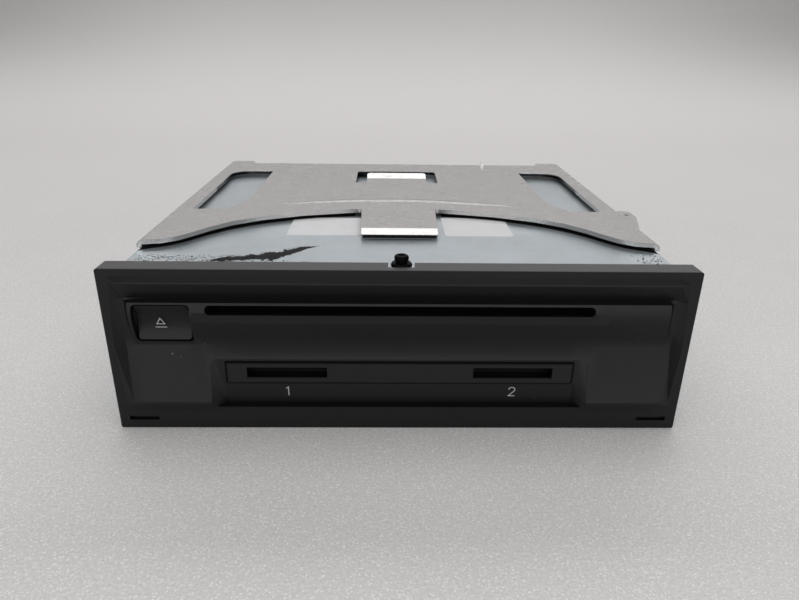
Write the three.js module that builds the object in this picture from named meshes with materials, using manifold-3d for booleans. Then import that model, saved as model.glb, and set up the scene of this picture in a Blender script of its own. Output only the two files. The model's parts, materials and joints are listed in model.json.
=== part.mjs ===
// A slot-loading disc drive with two card slots, built to sit behind a car's dashboard opening.
// Units are millimetres: X runs to the right, Y away from the viewer and Z up.
// The origin is the centre of the chassis's underside, on the drive's plane of symmetry.
import * as THREE from "three";
import { mergeVertices } from "three/addons/utils/BufferGeometryUtils.js";
import Module from "manifold-3d";

const wasm = await Module();
wasm.setup();

// What every fit and every cut shares
const clearance = 0.3; // air left between two pieces that touch
const running = 0.1; // air round a shaft that turns in its bearing
const overrun = 1; // how far a cutting shape passes the face that it cuts
const curveSteps = 4; // straight steps on one curve of an outline
const roundSteps = 12; // straight steps round a shaft, boss or hole
const fewSteps = 8; // straight steps round a small pin or a pressed boss

// The disc that the drive is built round; it isn't part of the drive
const disc = { radius: 60, thickness: 1.2 };

// Casing sheets
const cover = { margin: 31.5, depth: 163, top: 54, sheet: 0.8, lip: 8, bend: 1.5 };
cover.width = 2 * (disc.radius + cover.margin);
const chassis = { sheet: 1, bend: 1.6 };
chassis.width = cover.width - 2 * (cover.sheet + clearance);
chassis.height = cover.top - cover.sheet - clearance;
chassis.wall = chassis.width / 2 - chassis.sheet; // inner face of a side wall
chassis.front = -cover.depth / 2;
chassis.back = cover.depth / 2;

// Moulded front: heights are above its foot, depths are behind the plane of its frame
const bezel = { proud: 2.5, height: 57.1, depth: 7.3, wall: 2, corner: 1.1, edge: 0.3, rib: 1.2 };
bezel.width = cover.width + 2 * bezel.proud;
const relief = {
  rim: 54.7, // lower edge of the frame's flat top bar
  bead: 52.8, // crest of the bead that edges the frame
  beadProud: 1.3,
  beadRound: 0.5,
  valley: 47, // bottom of the slope under the bead
  valleyDepth: 2.2,
  ledge: 46.4, // lower edge of the valley's floor
  ledgeDepth: 1.6,
  pillow: 45.8, // upper edge of the rounded panel that holds the disc slot
  pillowDepth: 0.3,
  pillowInset: 8.3, // from the bezel's end to the rounded panel's
  pillowSlope: 1.2,
  crease: 29.9, // where the rounded panel turns into the lower one
  creaseDepth: 2.5,
  chin: 11.2, // lower edge of the lower panel
  chinProud: 1.6,
  band: 8.2, // upper edge of the frame's bottom bar
  sideTop: 4.6, // width of the frame's side bars at the top
  sideFoot: 4.3,
  sideBulge: 1.6,
  sideBead: 0.9,
  sideBeadProud: 0.3,
  sideSlope: 2.4,
};
const hookSlotShare = 1.33; // height of a hook's slot over the hook's own
const pillowCrownShares = [0.33, -0.9]; // the rounded panel's control point: down its height, over its depth
const discSlot = { play: 1.6, height: 3.05, middle: 43.5, collar: 1.8 };
discSlot.width = 2 * (disc.radius + discSlot.play);
const button = {
  inset: 9.8, // from the bezel's left end
  width: 17.2,
  foot: 32.4,
  top: 44.8,
  corner: 1.2,
  scoop: 1.1,
  topDepth: 0.1,
  footDepth: 1.5,
  flange: 1,
  flangeRim: 1.1,
  shell: 1.4,
  bossRadius: 2.2,
  bossLength: 0.8,
  travel: 1,
};
button.gap = { left: 0.4, right: 0.6, foot: 0.6, top: 0.4 };
button.left = button.inset - bezel.width / 2;
button.right = button.left + button.width;
const basin = { width: 124, top: 25.5, foot: 8.4, taper: 4, corner: 2, depth: 2, footDepth: 2.8, lip: 0.25 };
const strip = { width: 114.8, foot: 16.4, top: 24.25, corner: 0.8, depth: 1.5, plate: 1.6, wall: 1.1 };
const cardSlot = { spacing: 74.7, width: 26.35, height: 4, middle: 20.4, lip: 0.5 };
const cornerSlot = { width: 9.8, height: 1.5, inset: 8.4, level: 4, depth: 1.5 };
const notch = { width: 8.4, depth: 4.4 };
const hook = { inset: 16, width: 6, sheet: 1.5, high: 50, low: 6, barb: 0.9, nose: 1.6 };
cornerSlot.middle = bezel.width / 2 - cornerSlot.inset;
hook.x = bezel.width / 2 - hook.inset;
hook.slotHeight = (hook.sheet + hook.barb) * hookSlotShare;
const felt = { sheet: 1.5, reach: 5, margin: 0.5 };
const stud = { base: 3.4, baseHeight: 1.3, neck: 1.9, neckHeight: 0.7, head: 2.3, headHeight: 1.7 };
stud.leg = 0.9;
stud.legLength = 1;
stud.setBack = 1.3; // from the middle of its tab
stud.socket = [2.2, 1.3, 1];

// Thick plate over the cover
const bracket = {
  sheet: 1.6,
  top: 57.1,
  bend: 2,
  front: -60.1, // Y of its front corners
  shoulder: -15.2, // Y of the front edge beside the middle tab
  rear: 81.2,
  earReach: 6,
  earWidth: 14,
  earCorner: 4,
  earFillet: 3,
  tabWidth: 30.2, // at its root
  tabEnd: 28.4, // width where its end bends down
  tabFront: -43.1,
  tabFoot: 5,
  tabCorner: 1.5,
};
const sweepShares = [0.92, 0.308, 0.649, 0.994]; // the front edge's control points, over its width and depth
const sideWindow = { inset: 7.8, width: 19.9, front: -17.2, rear: 60.5, corner: 2, rearCorner: 10 };
sideWindow.sweepWidth = 6.6; // of the long curve at its inner front corner
sideWindow.sweepLength = 25.2;
const windowSweepShare = 0.48; // the long curve's control point, over its length
const tongue = { width: 29.2, slotWidth: 39.8, slotLength: 27, root: 34.5, bendAt: 44.5, foot: 5.4, rise: 1.6, corner: 1.5 };
tongue.slotRear = tongue.root + tongue.slotLength;
tongue.slotCorner = 2.5;
const lug = { reach: 4, rear: -15.5, waist: -25, front: -46, corner: 3 };
lug.hole = { radius: 0.9, inset: 1.2, y: -21.7 };
const nib = { x: 47.5, width: 1.6, height: 1.4 };

// Fasteners and side fixings
const screw = { head: 2.8, headHeight: 1.4, shank: 1.5, length: 5, recess: 0.8, slotWidth: 0.9 };
const sideScrew = { front: -62, rear: 62, level: 49.5 };
const rearScrew = { inset: 12.5, level: 49.5, tabWidth: 15 };
rearScrew.x = cover.width / 2 - rearScrew.inset;
const fixing = { radius: 2.3, spacing: 80, level: 20 };

// Boards and card sockets
const board = { gap: 14.4, front: -38, rear: 76, sheet: 1.6, standoff: 5.7, bossTop: 4, bossFoot: 6.5 };
board.width = 2 * (chassis.wall - board.gap);
board.bossInset = 8;
board.bossX = board.width / 2 - board.bossInset;
board.foot = chassis.sheet + board.standoff + clearance;
board.top = board.foot + board.sheet;
const chips = { processor: [26, 26, 2], memory: [12, 18, 1.2], coil: [10, 10, 5], can: 4, canHeight: 7 };
const chipShares = {
  processors: [[-0.33, 0], [0.25, -0.09]], // places over half of the board's width, from the drive's centre
  memories: [[-0.57, 0.42], [-0.33, 0.42], [-0.09, 0.42]],
  coils: [[-0.8, 0.21], [-0.8, 0.48]],
  cans: [[-0.85, -0.05], [-0.85, -0.18], [-0.85, -0.31]],
};
const socket = { width: 28.8, depth: 31, height: 3.6, wall: 0.8, floor: 0.6 };
const cardBoard = { width: 116, depth: 38, sheet: 1.4, postWidth: 7, postX: 52, postInset: 6 };
cardBoard.top = cardSlot.middle - socket.height / 2 - clearance;
cardBoard.foot = cardBoard.top - cardBoard.sheet;
const slider = { width: 2, length: 9, height: 1.8, travel: 1.8 };
const buttonBoard = { width: 20, height: 16, sheet: 1, switchSide: 6 };

// Cooling slots in the side walls and the floor
const vent = { width: 2.6, corner: 0.8, pitch: 7, inset: 30, sideLevels: [26, 42], floorY: -58 };
vent.floorLength = 22;
vent.sidePlaces = [0, 1, 2, 3, 4];
vent.floorPlaces = [-3, -2, -1, 0, 1, 2, 3];

// Rear connectors and cooler
const plug = { x: 40, width: 40, height: 14, depth: 16, shell: 1.6, floor: 6, proud: 4.5, pins: 10 };
plug.pinSide = 0.8;
plug.pinLength = 4;
const sidePlug = { x: 68, width: 12, height: 12 };
const cooler = { left: -64, right: 7, foot: 18, topLeft: 56.6, topRight: 55.6, base: 2.5 };
cooler.fins = 13;
cooler.fin = 1.2;
cooler.finDepth = 8;
cooler.finTop = cooler.topRight - cooler.base / 2;

// Floating deck: its group stands at the spindle, on the deck plate's upper face
const deck = { sheet: 1.2, margin: 5.5, rear: 82, drop: 9.6, spindleY: -8, corner: 4 };
deck.width = 2 * (disc.radius + deck.margin);
deck.level = discSlot.middle - deck.drop;
deck.sledWindow = [56, 6, 76];
const damper = { inset: 9.4, front: -73.8, rear: 66, radius: 5, height: 12, bore: 1.8, pin: 1.3, pinLength: 9 };
damper.x = chassis.wall - damper.inset;
damper.shelfWidth = 2 * damper.radius;
damper.earWidth = 6.8;
deck.front = damper.front - deck.spindleY - damper.earWidth / 2;
const damperShares = [[0, 0], [1, 0], [1, 0.25], [0.75, 0.4], [0.75, 0.6], [1, 0.75], [1, 1], [0, 1]];
damper.shelf = deck.level - deck.sheet - damper.height - 2 * clearance;
const motor = { radius: 12, height: 6.2, shaft: 1.5 };
const turntable = { radius: 14, plate: 1.6, cone: 7.3, coneTop: 5.6, coneHeight: 1.9 };
const rod = { radius: 1.5, spacing: 44, front: 3, rear: 78, level: 3.2, block: 5 };
const sled = { width: 34, depth: 22, height: 6, foot: -1.2, inner: 24, lens: 2.6, lensRim: 4 };
sled.rimHeight = 1.8;
const lensShares = [0.7, 0.18, 0.28]; // the lens's shoulder: its radius and its height, then its crown's height
const lead = { radius: 1.2, x: -31, motorRadius: 5, motorLength: 11 };
lead.level = lead.motorRadius + clearance;
const arm = { level: 14.6, sheet: 1.2, width: 34, rootWidth: 78, ear: 4, tip: 17, pin: 1.3, pivotInset: 12 };
arm.pivotY = deck.rear - arm.pivotInset;
arm.pivotZ = 11.4;
const clamper = { radius: 13, height: 2.2, neck: 5, flange: 8, flangeHeight: 1.2 };

// Disc feed: roller, its bushes and the spur gears on the deck's right side plate
const ear = { proud: 0.5, width: 12, sheet: 1.2, margin: 3 };
ear.x = deck.width / 2 + ear.proud;
const roller = { y: -58, shaft: 1.5, radius: 4, waist: 3.2, margin: 8, gap: 4, bush: 2.6 };
roller.level = deck.drop - disc.thickness / 2 - roller.radius;
roller.length = ear.x - roller.margin - roller.gap / 2;
const guide = { front: -66, rear: -42, sheet: 1.5, gap: 0.9, leg: 2.4, legWidth: 6 };
guide.width = deck.width - 2 * deck.sheet;
guide.level = deck.drop + disc.thickness / 2 + guide.gap;
const gear = { module: 0.7, width: 3, stud: 1.3, backlash: 0.14, pressure: 25, flankSteps: 3 };
gear.addendumShare = 0.85;
gear.dedendumShare = 1.25;
const teeth = { roller: 17, idler: 20, pinion: 14, wheel: 30, motor: 12 };
const gearAngles = { idler: -44, wheel: -4, motor: -14 }; // from one axis to the next, up from Y
const gearPlanes = { inner: [ear.x + 3 * clearance, ear.x + 3 * clearance + gear.width] };
gearPlanes.outer = gearPlanes.inner.map((x) => x + gear.width + 4 * clearance);
const sidePlate = { front: -68, rear: -8, foot: -18 };
const feedMotor = { width: 15.5, height: 12, length: 25, shaft: 1, shaftIn: 4 };
const cam = { sheet: 2, front: -50, rear: 40, foot: 1, middle: 6, top: 11, travel: 8, slot: 3.4 };
cam.rampFall = 1.4;
cam.rampRun = 4.5;
cam.hold = 2; // how much of the finger's width the raised part carries at rest
cam.outer = ear.x + clearance + cam.sheet;
cam.studs = [-32, 22];
cam.finger = 32;
cam.fingerWidth = 3;
const feeler = { inset: 8.5, y: -60, arm: 9.6, angle: -60, sheet: 1.3, width: 4, pin: 1.2, pinLength: 6.5 };
feeler.x = disc.radius - feeler.inset;
feeler.post = 1.3;

// Finishes
const finishes = {
  black: { color: 0x262627, roughness: 0.55, metalness: 0 },
  strip: { color: 0x303031, roughness: 0.6, metalness: 0 },
  galvanised: { color: 0xa0a8ac, roughness: 0.45, metalness: 0.8 },
  plate: { color: 0xacaaa8, roughness: 0.5, metalness: 0.8 },
  steel: { color: 0xb8bcc0, roughness: 0.3, metalness: 0.9 },
  brass: { color: 0xc8a860, roughness: 0.35, metalness: 0.9 },
  cooler: { color: 0x1c1d1f, roughness: 0.5, metalness: 0.6 },
  board: { color: 0x1f5a38, roughness: 0.6, metalness: 0 },
  rubber: { color: 0x1a1a1a, roughness: 0.9, metalness: 0 },
  white: { color: 0xe4e2da, roughness: 0.5, metalness: 0 },
  lens: { color: 0x5a78a0, roughness: 0.1, metalness: 0 },
};

const radians = THREE.MathUtils.degToRad;
const mirrored = [-1, 1];
const rising = (values) => [...values].sort((a, b) => a - b);

// A three.js geometry as a solid that can be joined and cut
function solid(geometry) {
  const bare = geometry.clone();
  bare.deleteAttribute("normal");
  bare.deleteAttribute("uv");
  const merged = mergeVertices(bare);
  const corners = merged.index.array;
  const kept = [];
  for (let i = 0; i < corners.length; i += 3) {
    const [a, b, c] = corners.slice(i, i + 3);
    if (a !== b && b !== c && a !== c) kept.push(a, b, c);
  }
  const vertProperties = merged.attributes.position.array;
  const triVerts = new Uint32Array(kept);
  return new wasm.Manifold(new wasm.Mesh({ numProp: 3, vertProperties, triVerts }));
}

const join = (first, ...rest) => rest.reduce((whole, next) => whole.add(next), first);
const cut = (first, ...rest) => rest.reduce((whole, next) => whole.subtract(next), first);
const moved = (geometry, x, y, z) => solid(geometry.translate(x, y, z));

// A box between two values on each axis
function block([x0, x1], [y0, y1], [z0, z1]) {
  const box = new THREE.BoxGeometry(x1 - x0, y1 - y0, z1 - z0);
  return moved(box, (x0 + x1) / 2, (y0 + y1) / 2, (z0 + z1) / 2);
}

const around = (middle, width) => [middle - width / 2, middle + width / 2];

// An outline pushed along one axis; it is drawn in (Y, Z) for X, in (X, Z) for Y and in (X, Y) for Z
function extruded(shape, axis, [from, to], curveSegments = curveSteps) {
  const long = new THREE.ExtrudeGeometry(shape, { depth: to - from, bevelEnabled: false, curveSegments });
  if (axis === "x") {
    const turn = new THREE.Matrix4().set(0, 0, 1, from, 1, 0, 0, 0, 0, 1, 0, 0, 0, 0, 0, 1);
    return solid(long.applyMatrix4(turn));
  }
  if (axis === "y") return moved(long.rotateX(Math.PI / 2), 0, to, 0);
  return moved(long, 0, 0, from);
}

// A round bar along one axis, from one value to another, through the point (a, b) of the other two axes
function bar(radius, axis, [from, to], a = 0, b = 0, steps = roundSteps) {
  const round = new THREE.CylinderGeometry(radius, radius, to - from, steps);
  const middle = (from + to) / 2;
  if (axis === "x") return moved(round.rotateZ(Math.PI / 2), middle, a, b);
  if (axis === "y") return moved(round, a, middle, b);
  return moved(round.rotateX(Math.PI / 2), a, b, middle);
}

// A profile of [radius, height] pairs turned about Z, closed on the axis at both ends
function turned(profile, steps = roundSteps) {
  const points = profile.map(([radius, height]) => new THREE.Vector2(radius, height));
  return solid(new THREE.LatheGeometry(points, steps).rotateX(Math.PI / 2));
}

// A rectangle with its own radius at each corner, from the lower left one and counterclockwise
function rounded([x0, x1], [y0, y1], radii) {
  const [a, b, c, d] = Array.isArray(radii) ? radii : [radii, radii, radii, radii];
  const shape = new THREE.Shape();
  shape.moveTo(x0 + a, y0);
  shape.lineTo(x1 - b, y0);
  if (b > 0) shape.absarc(x1 - b, y0 + b, b, -Math.PI / 2, 0);
  shape.lineTo(x1, y1 - c);
  if (c > 0) shape.absarc(x1 - c, y1 - c, c, 0, Math.PI / 2);
  shape.lineTo(x0 + d, y1);
  if (d > 0) shape.absarc(x0 + d, y1 - d, d, Math.PI / 2, Math.PI);
  shape.lineTo(x0, y0 + a);
  if (a > 0) shape.absarc(x0 + a, y0 + a, a, Math.PI, Math.PI * 1.5);
  return shape;
}

// A closed body between two grids of points; rows run down the front and columns to the right
function between(front, back) {
  const rows = front.length;
  const columns = front[0].length;
  const points = [...front.flat(), ...back.flat()];
  const at = (row, column) => row * columns + column;
  const behind = rows * columns;
  const faces = [];
  for (let r = 0; r < rows - 1; r++) {
    for (let c = 0; c < columns - 1; c++) {
      const [a, b, d, e] = [at(r, c), at(r + 1, c), at(r + 1, c + 1), at(r, c + 1)];
      faces.push(a, b, d, a, d, e);
      faces.push(behind + a, behind + d, behind + b, behind + a, behind + e, behind + d);
    }
  }
  const rim = [];
  for (let r = 0; r < rows - 1; r++) rim.push(at(r, 0));
  for (let c = 0; c < columns - 1; c++) rim.push(at(rows - 1, c));
  for (let r = rows - 1; r > 0; r--) rim.push(at(r, columns - 1));
  for (let c = columns - 1; c > 0; c--) rim.push(at(0, c));
  rim.forEach((a, i) => {
    const b = rim[(i + 1) % rim.length];
    faces.push(a, behind + a, b, b, behind + a, behind + b);
  });
  const geometry = new THREE.BufferGeometry().setFromPoints(points);
  geometry.setIndex(faces);
  return solid(geometry);
}

// Adds a finished solid to its group as a named mesh
function piece(group, name, shape, finish) {
  const { vertProperties, triVerts } = shape.getMesh();
  const shared = new THREE.BufferGeometry();
  shared.setAttribute("position", new THREE.BufferAttribute(vertProperties, 3));
  shared.setIndex(new THREE.BufferAttribute(triVerts, 1));
  const geometry = shared.toNonIndexed();
  geometry.computeVertexNormals();
  const mesh = new THREE.Mesh(geometry, new THREE.MeshStandardMaterial(finishes[finish]));
  mesh.name = name;
  group.add(mesh);
  return mesh;
}

const drive = new THREE.Group();
const front = new THREE.Group();
front.position.y = chassis.front - clearance - bezel.depth;
drive.add(front);
const backWall = bezel.depth + clearance + chassis.sheet + clearance; // first free depth behind the front sheet

// The depth of the bezel's front along a line down its middle, as [height, depth] points
function frontProfile(steps) {
  const { rim, bead, beadRound, beadProud, valley, valleyDepth, ledge, ledgeDepth } = relief;
  const { pillow, pillowDepth, crease, creaseDepth, chin, chinProud, band } = relief;
  const line = new THREE.Path();
  line.moveTo(bezel.height, bezel.edge);
  line.lineTo(bezel.height - bezel.edge, 0);
  line.lineTo(rim, 0);
  line.lineTo(bead + beadRound, -beadProud);
  line.quadraticCurveTo(bead, -beadProud - beadRound / 2, bead - beadRound, -beadProud);
  line.lineTo(valley, valleyDepth);
  line.lineTo(ledge, ledgeDepth);
  line.lineTo(pillow, pillowDepth);
  const [down, over] = pillowCrownShares;
  line.quadraticCurveTo(pillow - down * (pillow - crease), over * creaseDepth, crease, creaseDepth);
  line.lineTo(chin, -chinProud);
  const lip = (chin + band) / 2;
  line.quadraticCurveTo(lip, -chinProud, lip, -chinProud / 2);
  line.lineTo(band, 0);
  line.quadraticCurveTo(band / 2, -bezel.edge / 2, bezel.edge, 0);
  line.lineTo(0, bezel.edge);
  const points = line.getPoints(steps);
  return points.filter((p, i) => i === 0 || points[i - 1].x - p.x > bezel.edge / 100);
}

// The whole front of the bezel as one closed block, from its relief back to a given depth
function frontBlock(shift, back, steps) {
  const half = bezel.width / 2;
  const pillowHalf = half - relief.pillowInset;
  const rows = frontProfile(steps).map(({ x: height, y: depth }) => {
    const down = THREE.MathUtils.clamp((relief.rim - height) / (relief.rim - relief.band), 0, 1);
    const side = half - THREE.MathUtils.lerp(relief.sideTop, relief.sideFoot, down);
    const edge = side + relief.sideBulge * Math.sin(Math.PI * down);
    const inPanel = down > 0 && down < 1;
    const onPillow = height < relief.valley && height > relief.crease;
    const frame = inPanel ? 0 : depth;
    const floor = onPillow ? (relief.valleyDepth + relief.creaseDepth) / 2 : depth;
    const right = [
      [pillowHalf, depth],
      [pillowHalf + relief.pillowSlope, floor],
      [edge - relief.sideSlope, floor],
      [edge + relief.sideBead / 3, inPanel ? -relief.sideBeadProud : frame],
      [edge + relief.sideBead, frame],
      [half - bezel.edge, frame],
      [half, Math.max(frame, bezel.edge)],
    ];
    const left = right.map(([x, y]) => [-x, y]).reverse();
    return [...left, ...right].map(([x, y]) => new THREE.Vector3(x, y + shift, height));
  });
  const behind = rows.map((row) => row.map((p) => new THREE.Vector3(p.x, back, p.z)));
  return between(rows, behind);
}

// The eject button's outline, grown by its own amount on each side
function buttonOutline(grown) {
  const across = [button.left - grown.left, button.right + grown.right];
  const up = [button.foot - grown.foot, button.top + grown.top];
  return rounded(across, up, Math.max(button.corner + grown.left / 2, clearance));
}

const evenly = (grow) => ({ left: grow, right: grow, foot: grow, top: grow });

function buildBezel() {
  const { width, height, depth, wall, corner, rib } = bezel;
  const half = width / 2;
  const silhouette = extruded(rounded([-half, half], [0, height], corner), "y", [-depth, depth]);
  const outer = frontBlock(0, depth, curveSteps).intersect(silhouette);
  const room = block([wall - half, half - wall], [-depth, depth + overrun], [wall, height - wall]);
  const hollow = frontBlock(wall, depth + overrun, curveSteps / 2).intersect(room);

  const slotHalf = discSlot.width / 2;
  const slotRange = around(discSlot.middle, discSlot.height);
  const collar = block(
    around(0, discSlot.width + 2 * discSlot.collar),
    [0, depth],
    around(discSlot.middle, discSlot.height + 2 * discSlot.collar),
  );
  const pan = block(
    around(0, basin.width + 2 * wall),
    [-depth, basin.footDepth + wall],
    [basin.foot - wall, basin.top + wall],
  );
  const ribShares = [0.2, 0.45, 0.72];
  const ribs = ribShares.flatMap((share) =>
    mirrored.flatMap((side) => [
      block(around(side * share * half, rib), [0, depth], [wall / 2, basin.foot]),
      block(around(side * share * half, rib), [0, depth], [relief.valley, height - wall / 2]),
    ]),
  );
  const inside = join(collar, pan, ...ribs).intersect(frontBlock(wall / 2, depth, curveSteps / 2));

  const hooks = mirrored.flatMap((side) =>
    [[hook.high, 1], [hook.low, -1]].map(([level, up]) => {
      const across = around(side * hook.x, hook.width);
      const beak = backWall + hook.nose;
      const flank = rising([level, level + up * (hook.sheet / 2 + hook.barb)]);
      return join(
        block(across, [wall / 2, beak], around(level, hook.sheet)),
        block(across, [backWall, beak], flank),
      );
    }),
  );

  // The basin's end walls run from its floor to a mouth of one width, a lip's depth under the lower panel
  const mouth = basin.width / 2;
  const flat = mouth - basin.taper;
  const panelSlope = (relief.creaseDepth + relief.chinProud) / (relief.crease - relief.chin);
  const basinRows = [
    [basin.top, basin.depth],
    [strip.foot, basin.depth],
    [relief.chin, (basin.depth + basin.footDepth) / 2],
    [basin.foot, basin.footDepth],
  ].map(([level, floor]) => {
    const panel = relief.creaseDepth - panelSlope * (relief.crease - Math.max(level, relief.chin));
    const edge = panel + basin.lip;
    return [[-mouth, edge], [-flat, floor], [flat, floor], [mouth, edge]].map(
      ([x, y]) => new THREE.Vector3(x, y, level),
    );
  });
  const beforeRows = basinRows.map((row) => row.map((p) => new THREE.Vector3(p.x, -depth, p.z)));
  const mouthOutline = rounded(
    [-mouth, mouth],
    [basin.foot - overrun, basin.top],
    [0, 0, basin.corner, basin.corner],
  );
  const recess = between(beforeRows, basinRows).intersect(extruded(mouthOutline, "y", [-depth, depth]));

  const through = [-depth, depth + overrun];
  const stripOutline = rounded(
    around(0, strip.width + 2 * clearance),
    [strip.foot - clearance, strip.top + clearance],
    strip.corner,
  );
  const openings = [
    extruded(rounded([-slotHalf, slotHalf], slotRange, (discSlot.height - clearance) / 2), "y", through),
    extruded(buttonOutline(button.gap), "y", through),
    extruded(stripOutline, "y", through),
    block(around(0, notch.width), [depth - notch.depth, depth + overrun], [relief.bead, height + overrun]),
    ...mirrored.map((side) =>
      block(
        around(side * cornerSlot.middle, cornerSlot.width),
        [-depth, cornerSlot.depth],
        around(cornerSlot.level, cornerSlot.height),
      ),
    ),
  ];
  const shell = join(cut(outer, hollow), inside, ...hooks);
  piece(front, "front_bezel", cut(shell, recess, ...openings), "black");
}

function buildButton() {
  const { top, foot, topDepth, footDepth, scoop, shell, flange } = button;
  const flangeDepth = relief.creaseDepth + bezel.wall + clearance;
  const back = flangeDepth + flange;
  const side = new THREE.Shape();
  side.moveTo(back, foot - overrun);
  side.lineTo(back, top + overrun);
  side.lineTo(topDepth, top + overrun);
  side.lineTo(topDepth, top);
  side.quadraticCurveTo((topDepth + footDepth) / 2 + 2 * scoop, (top + foot) / 2, footDepth, foot);
  side.lineTo(footDepth, foot - overrun);
  const wide = [button.left - overrun, button.right + overrun];
  const face = extruded(buttonOutline(evenly(0)), "y", [-overrun, back]).intersect(extruded(side, "x", wide));
  const rim = extruded(buttonOutline(evenly(button.flangeRim)), "y", [flangeDepth, back], 1);
  const room = extruded(buttonOutline(evenly(-shell)), "y", [footDepth + scoop + shell, back + overrun], 1);
  const middle = [(button.left + button.right) / 2, (top + foot) / 2];
  const bossEnd = back + button.bossLength;
  const boss = bar(button.bossRadius, "y", [footDepth + scoop, bossEnd], ...middle);
  piece(front, "eject_button", join(cut(join(face, rim), room), boss), "black");

  const sheetDepth = [backWall, backWall + buttonBoard.sheet];
  const plate = block(
    around(middle[0], buttonBoard.width),
    sheetDepth,
    around(middle[1], buttonBoard.height),
  );
  const switchFront = bossEnd + button.travel + clearance;
  const body = block(
    around(middle[0], buttonBoard.switchSide),
    [switchFront, backWall + buttonBoard.sheet / 2],
    around(middle[1], buttonBoard.switchSide),
  );
  piece(front, "button_board", join(plate, body), "board");
}

function buildStrip() {
  const half = strip.width / 2;
  const outline = rounded([-half, half], [strip.foot, strip.top], strip.corner);
  const body = extruded(outline, "y", [strip.depth, bezel.depth]);
  const room = block(
    [strip.wall - half, half - strip.wall],
    [strip.depth + strip.plate, bezel.depth + overrun],
    [strip.foot + strip.wall, strip.top - strip.wall],
  );
  const slots = mirrored.flatMap((side) => {
    const across = around((side * cardSlot.spacing) / 2, cardSlot.width);
    const [low, high] = around(cardSlot.middle, cardSlot.height);
    const lip = new THREE.Shape();
    lip.moveTo(strip.depth - cardSlot.lip, low - 2 * cardSlot.lip);
    lip.lineTo(strip.depth + cardSlot.lip, low);
    lip.lineTo(strip.depth + cardSlot.lip, high);
    lip.lineTo(strip.depth - cardSlot.lip, high);
    return [block(across, [0, bezel.depth], [low, high]), extruded(lip, "x", across)];
  });
  piece(front, "card_slot_strip", cut(body, room, ...slots), "strip");
}

function buildFelts() {
  const half = discSlot.width / 2 + felt.margin;
  const near = clearance / 2;
  const depth = [backWall, backWall + felt.sheet];
  const pairs = { slot_felt_upper: [near, near + felt.reach], slot_felt_lower: [-near - felt.reach, -near] };
  for (const [name, [low, high]] of Object.entries(pairs)) {
    const range = [discSlot.middle + low, discSlot.middle + high];
    piece(front, name, block([-half, half], depth, range), "rubber");
  }
}

// A sheet bent down at both ends, as an outline in (X, Z)
function channel(half, top, foot, sheet, bend) {
  const inner = Math.max(bend - sheet, 0);
  const outline = new THREE.Shape();
  outline.moveTo(-half, foot);
  outline.lineTo(-half + sheet, foot);
  outline.lineTo(-half + sheet, top - sheet - inner);
  outline.absarc(-half + sheet + inner, top - sheet - inner, inner, Math.PI, Math.PI / 2, true);
  outline.lineTo(half - sheet - inner, top - sheet);
  outline.absarc(half - sheet - inner, top - sheet - inner, inner, Math.PI / 2, 0, true);
  outline.lineTo(half - sheet, foot);
  outline.lineTo(half, foot);
  outline.lineTo(half, top - bend);
  outline.absarc(half - bend, top - bend, bend, 0, Math.PI / 2);
  outline.lineTo(-half + bend, top);
  outline.absarc(-half + bend, top - bend, bend, Math.PI / 2, Math.PI);
  return outline;
}

// A closed outline whose left half mirrors the right half that is given, drawn from the front to the rear
function symmetric(plan, steps) {
  const rightHalf = plan.getPoints(steps);
  const leftHalf = rightHalf.map((p) => new THREE.Vector2(-p.x, p.y)).reverse();
  return new THREE.Shape([...rightHalf, ...leftHalf.slice(1, -1)]);
}

// The holes that the two casing sheets share with the screws that hold them together
const sideHoles = (radius) =>
  [sideScrew.front, sideScrew.rear].map((y) =>
    bar(radius, "x", [-cover.width, cover.width], y, sideScrew.level, fewSteps),
  );
const rearHoles = (radius) =>
  mirrored.map((side) =>
    bar(radius, "y", [0, cover.depth], side * rearScrew.x, rearScrew.level, fewSteps),
  );

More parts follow.
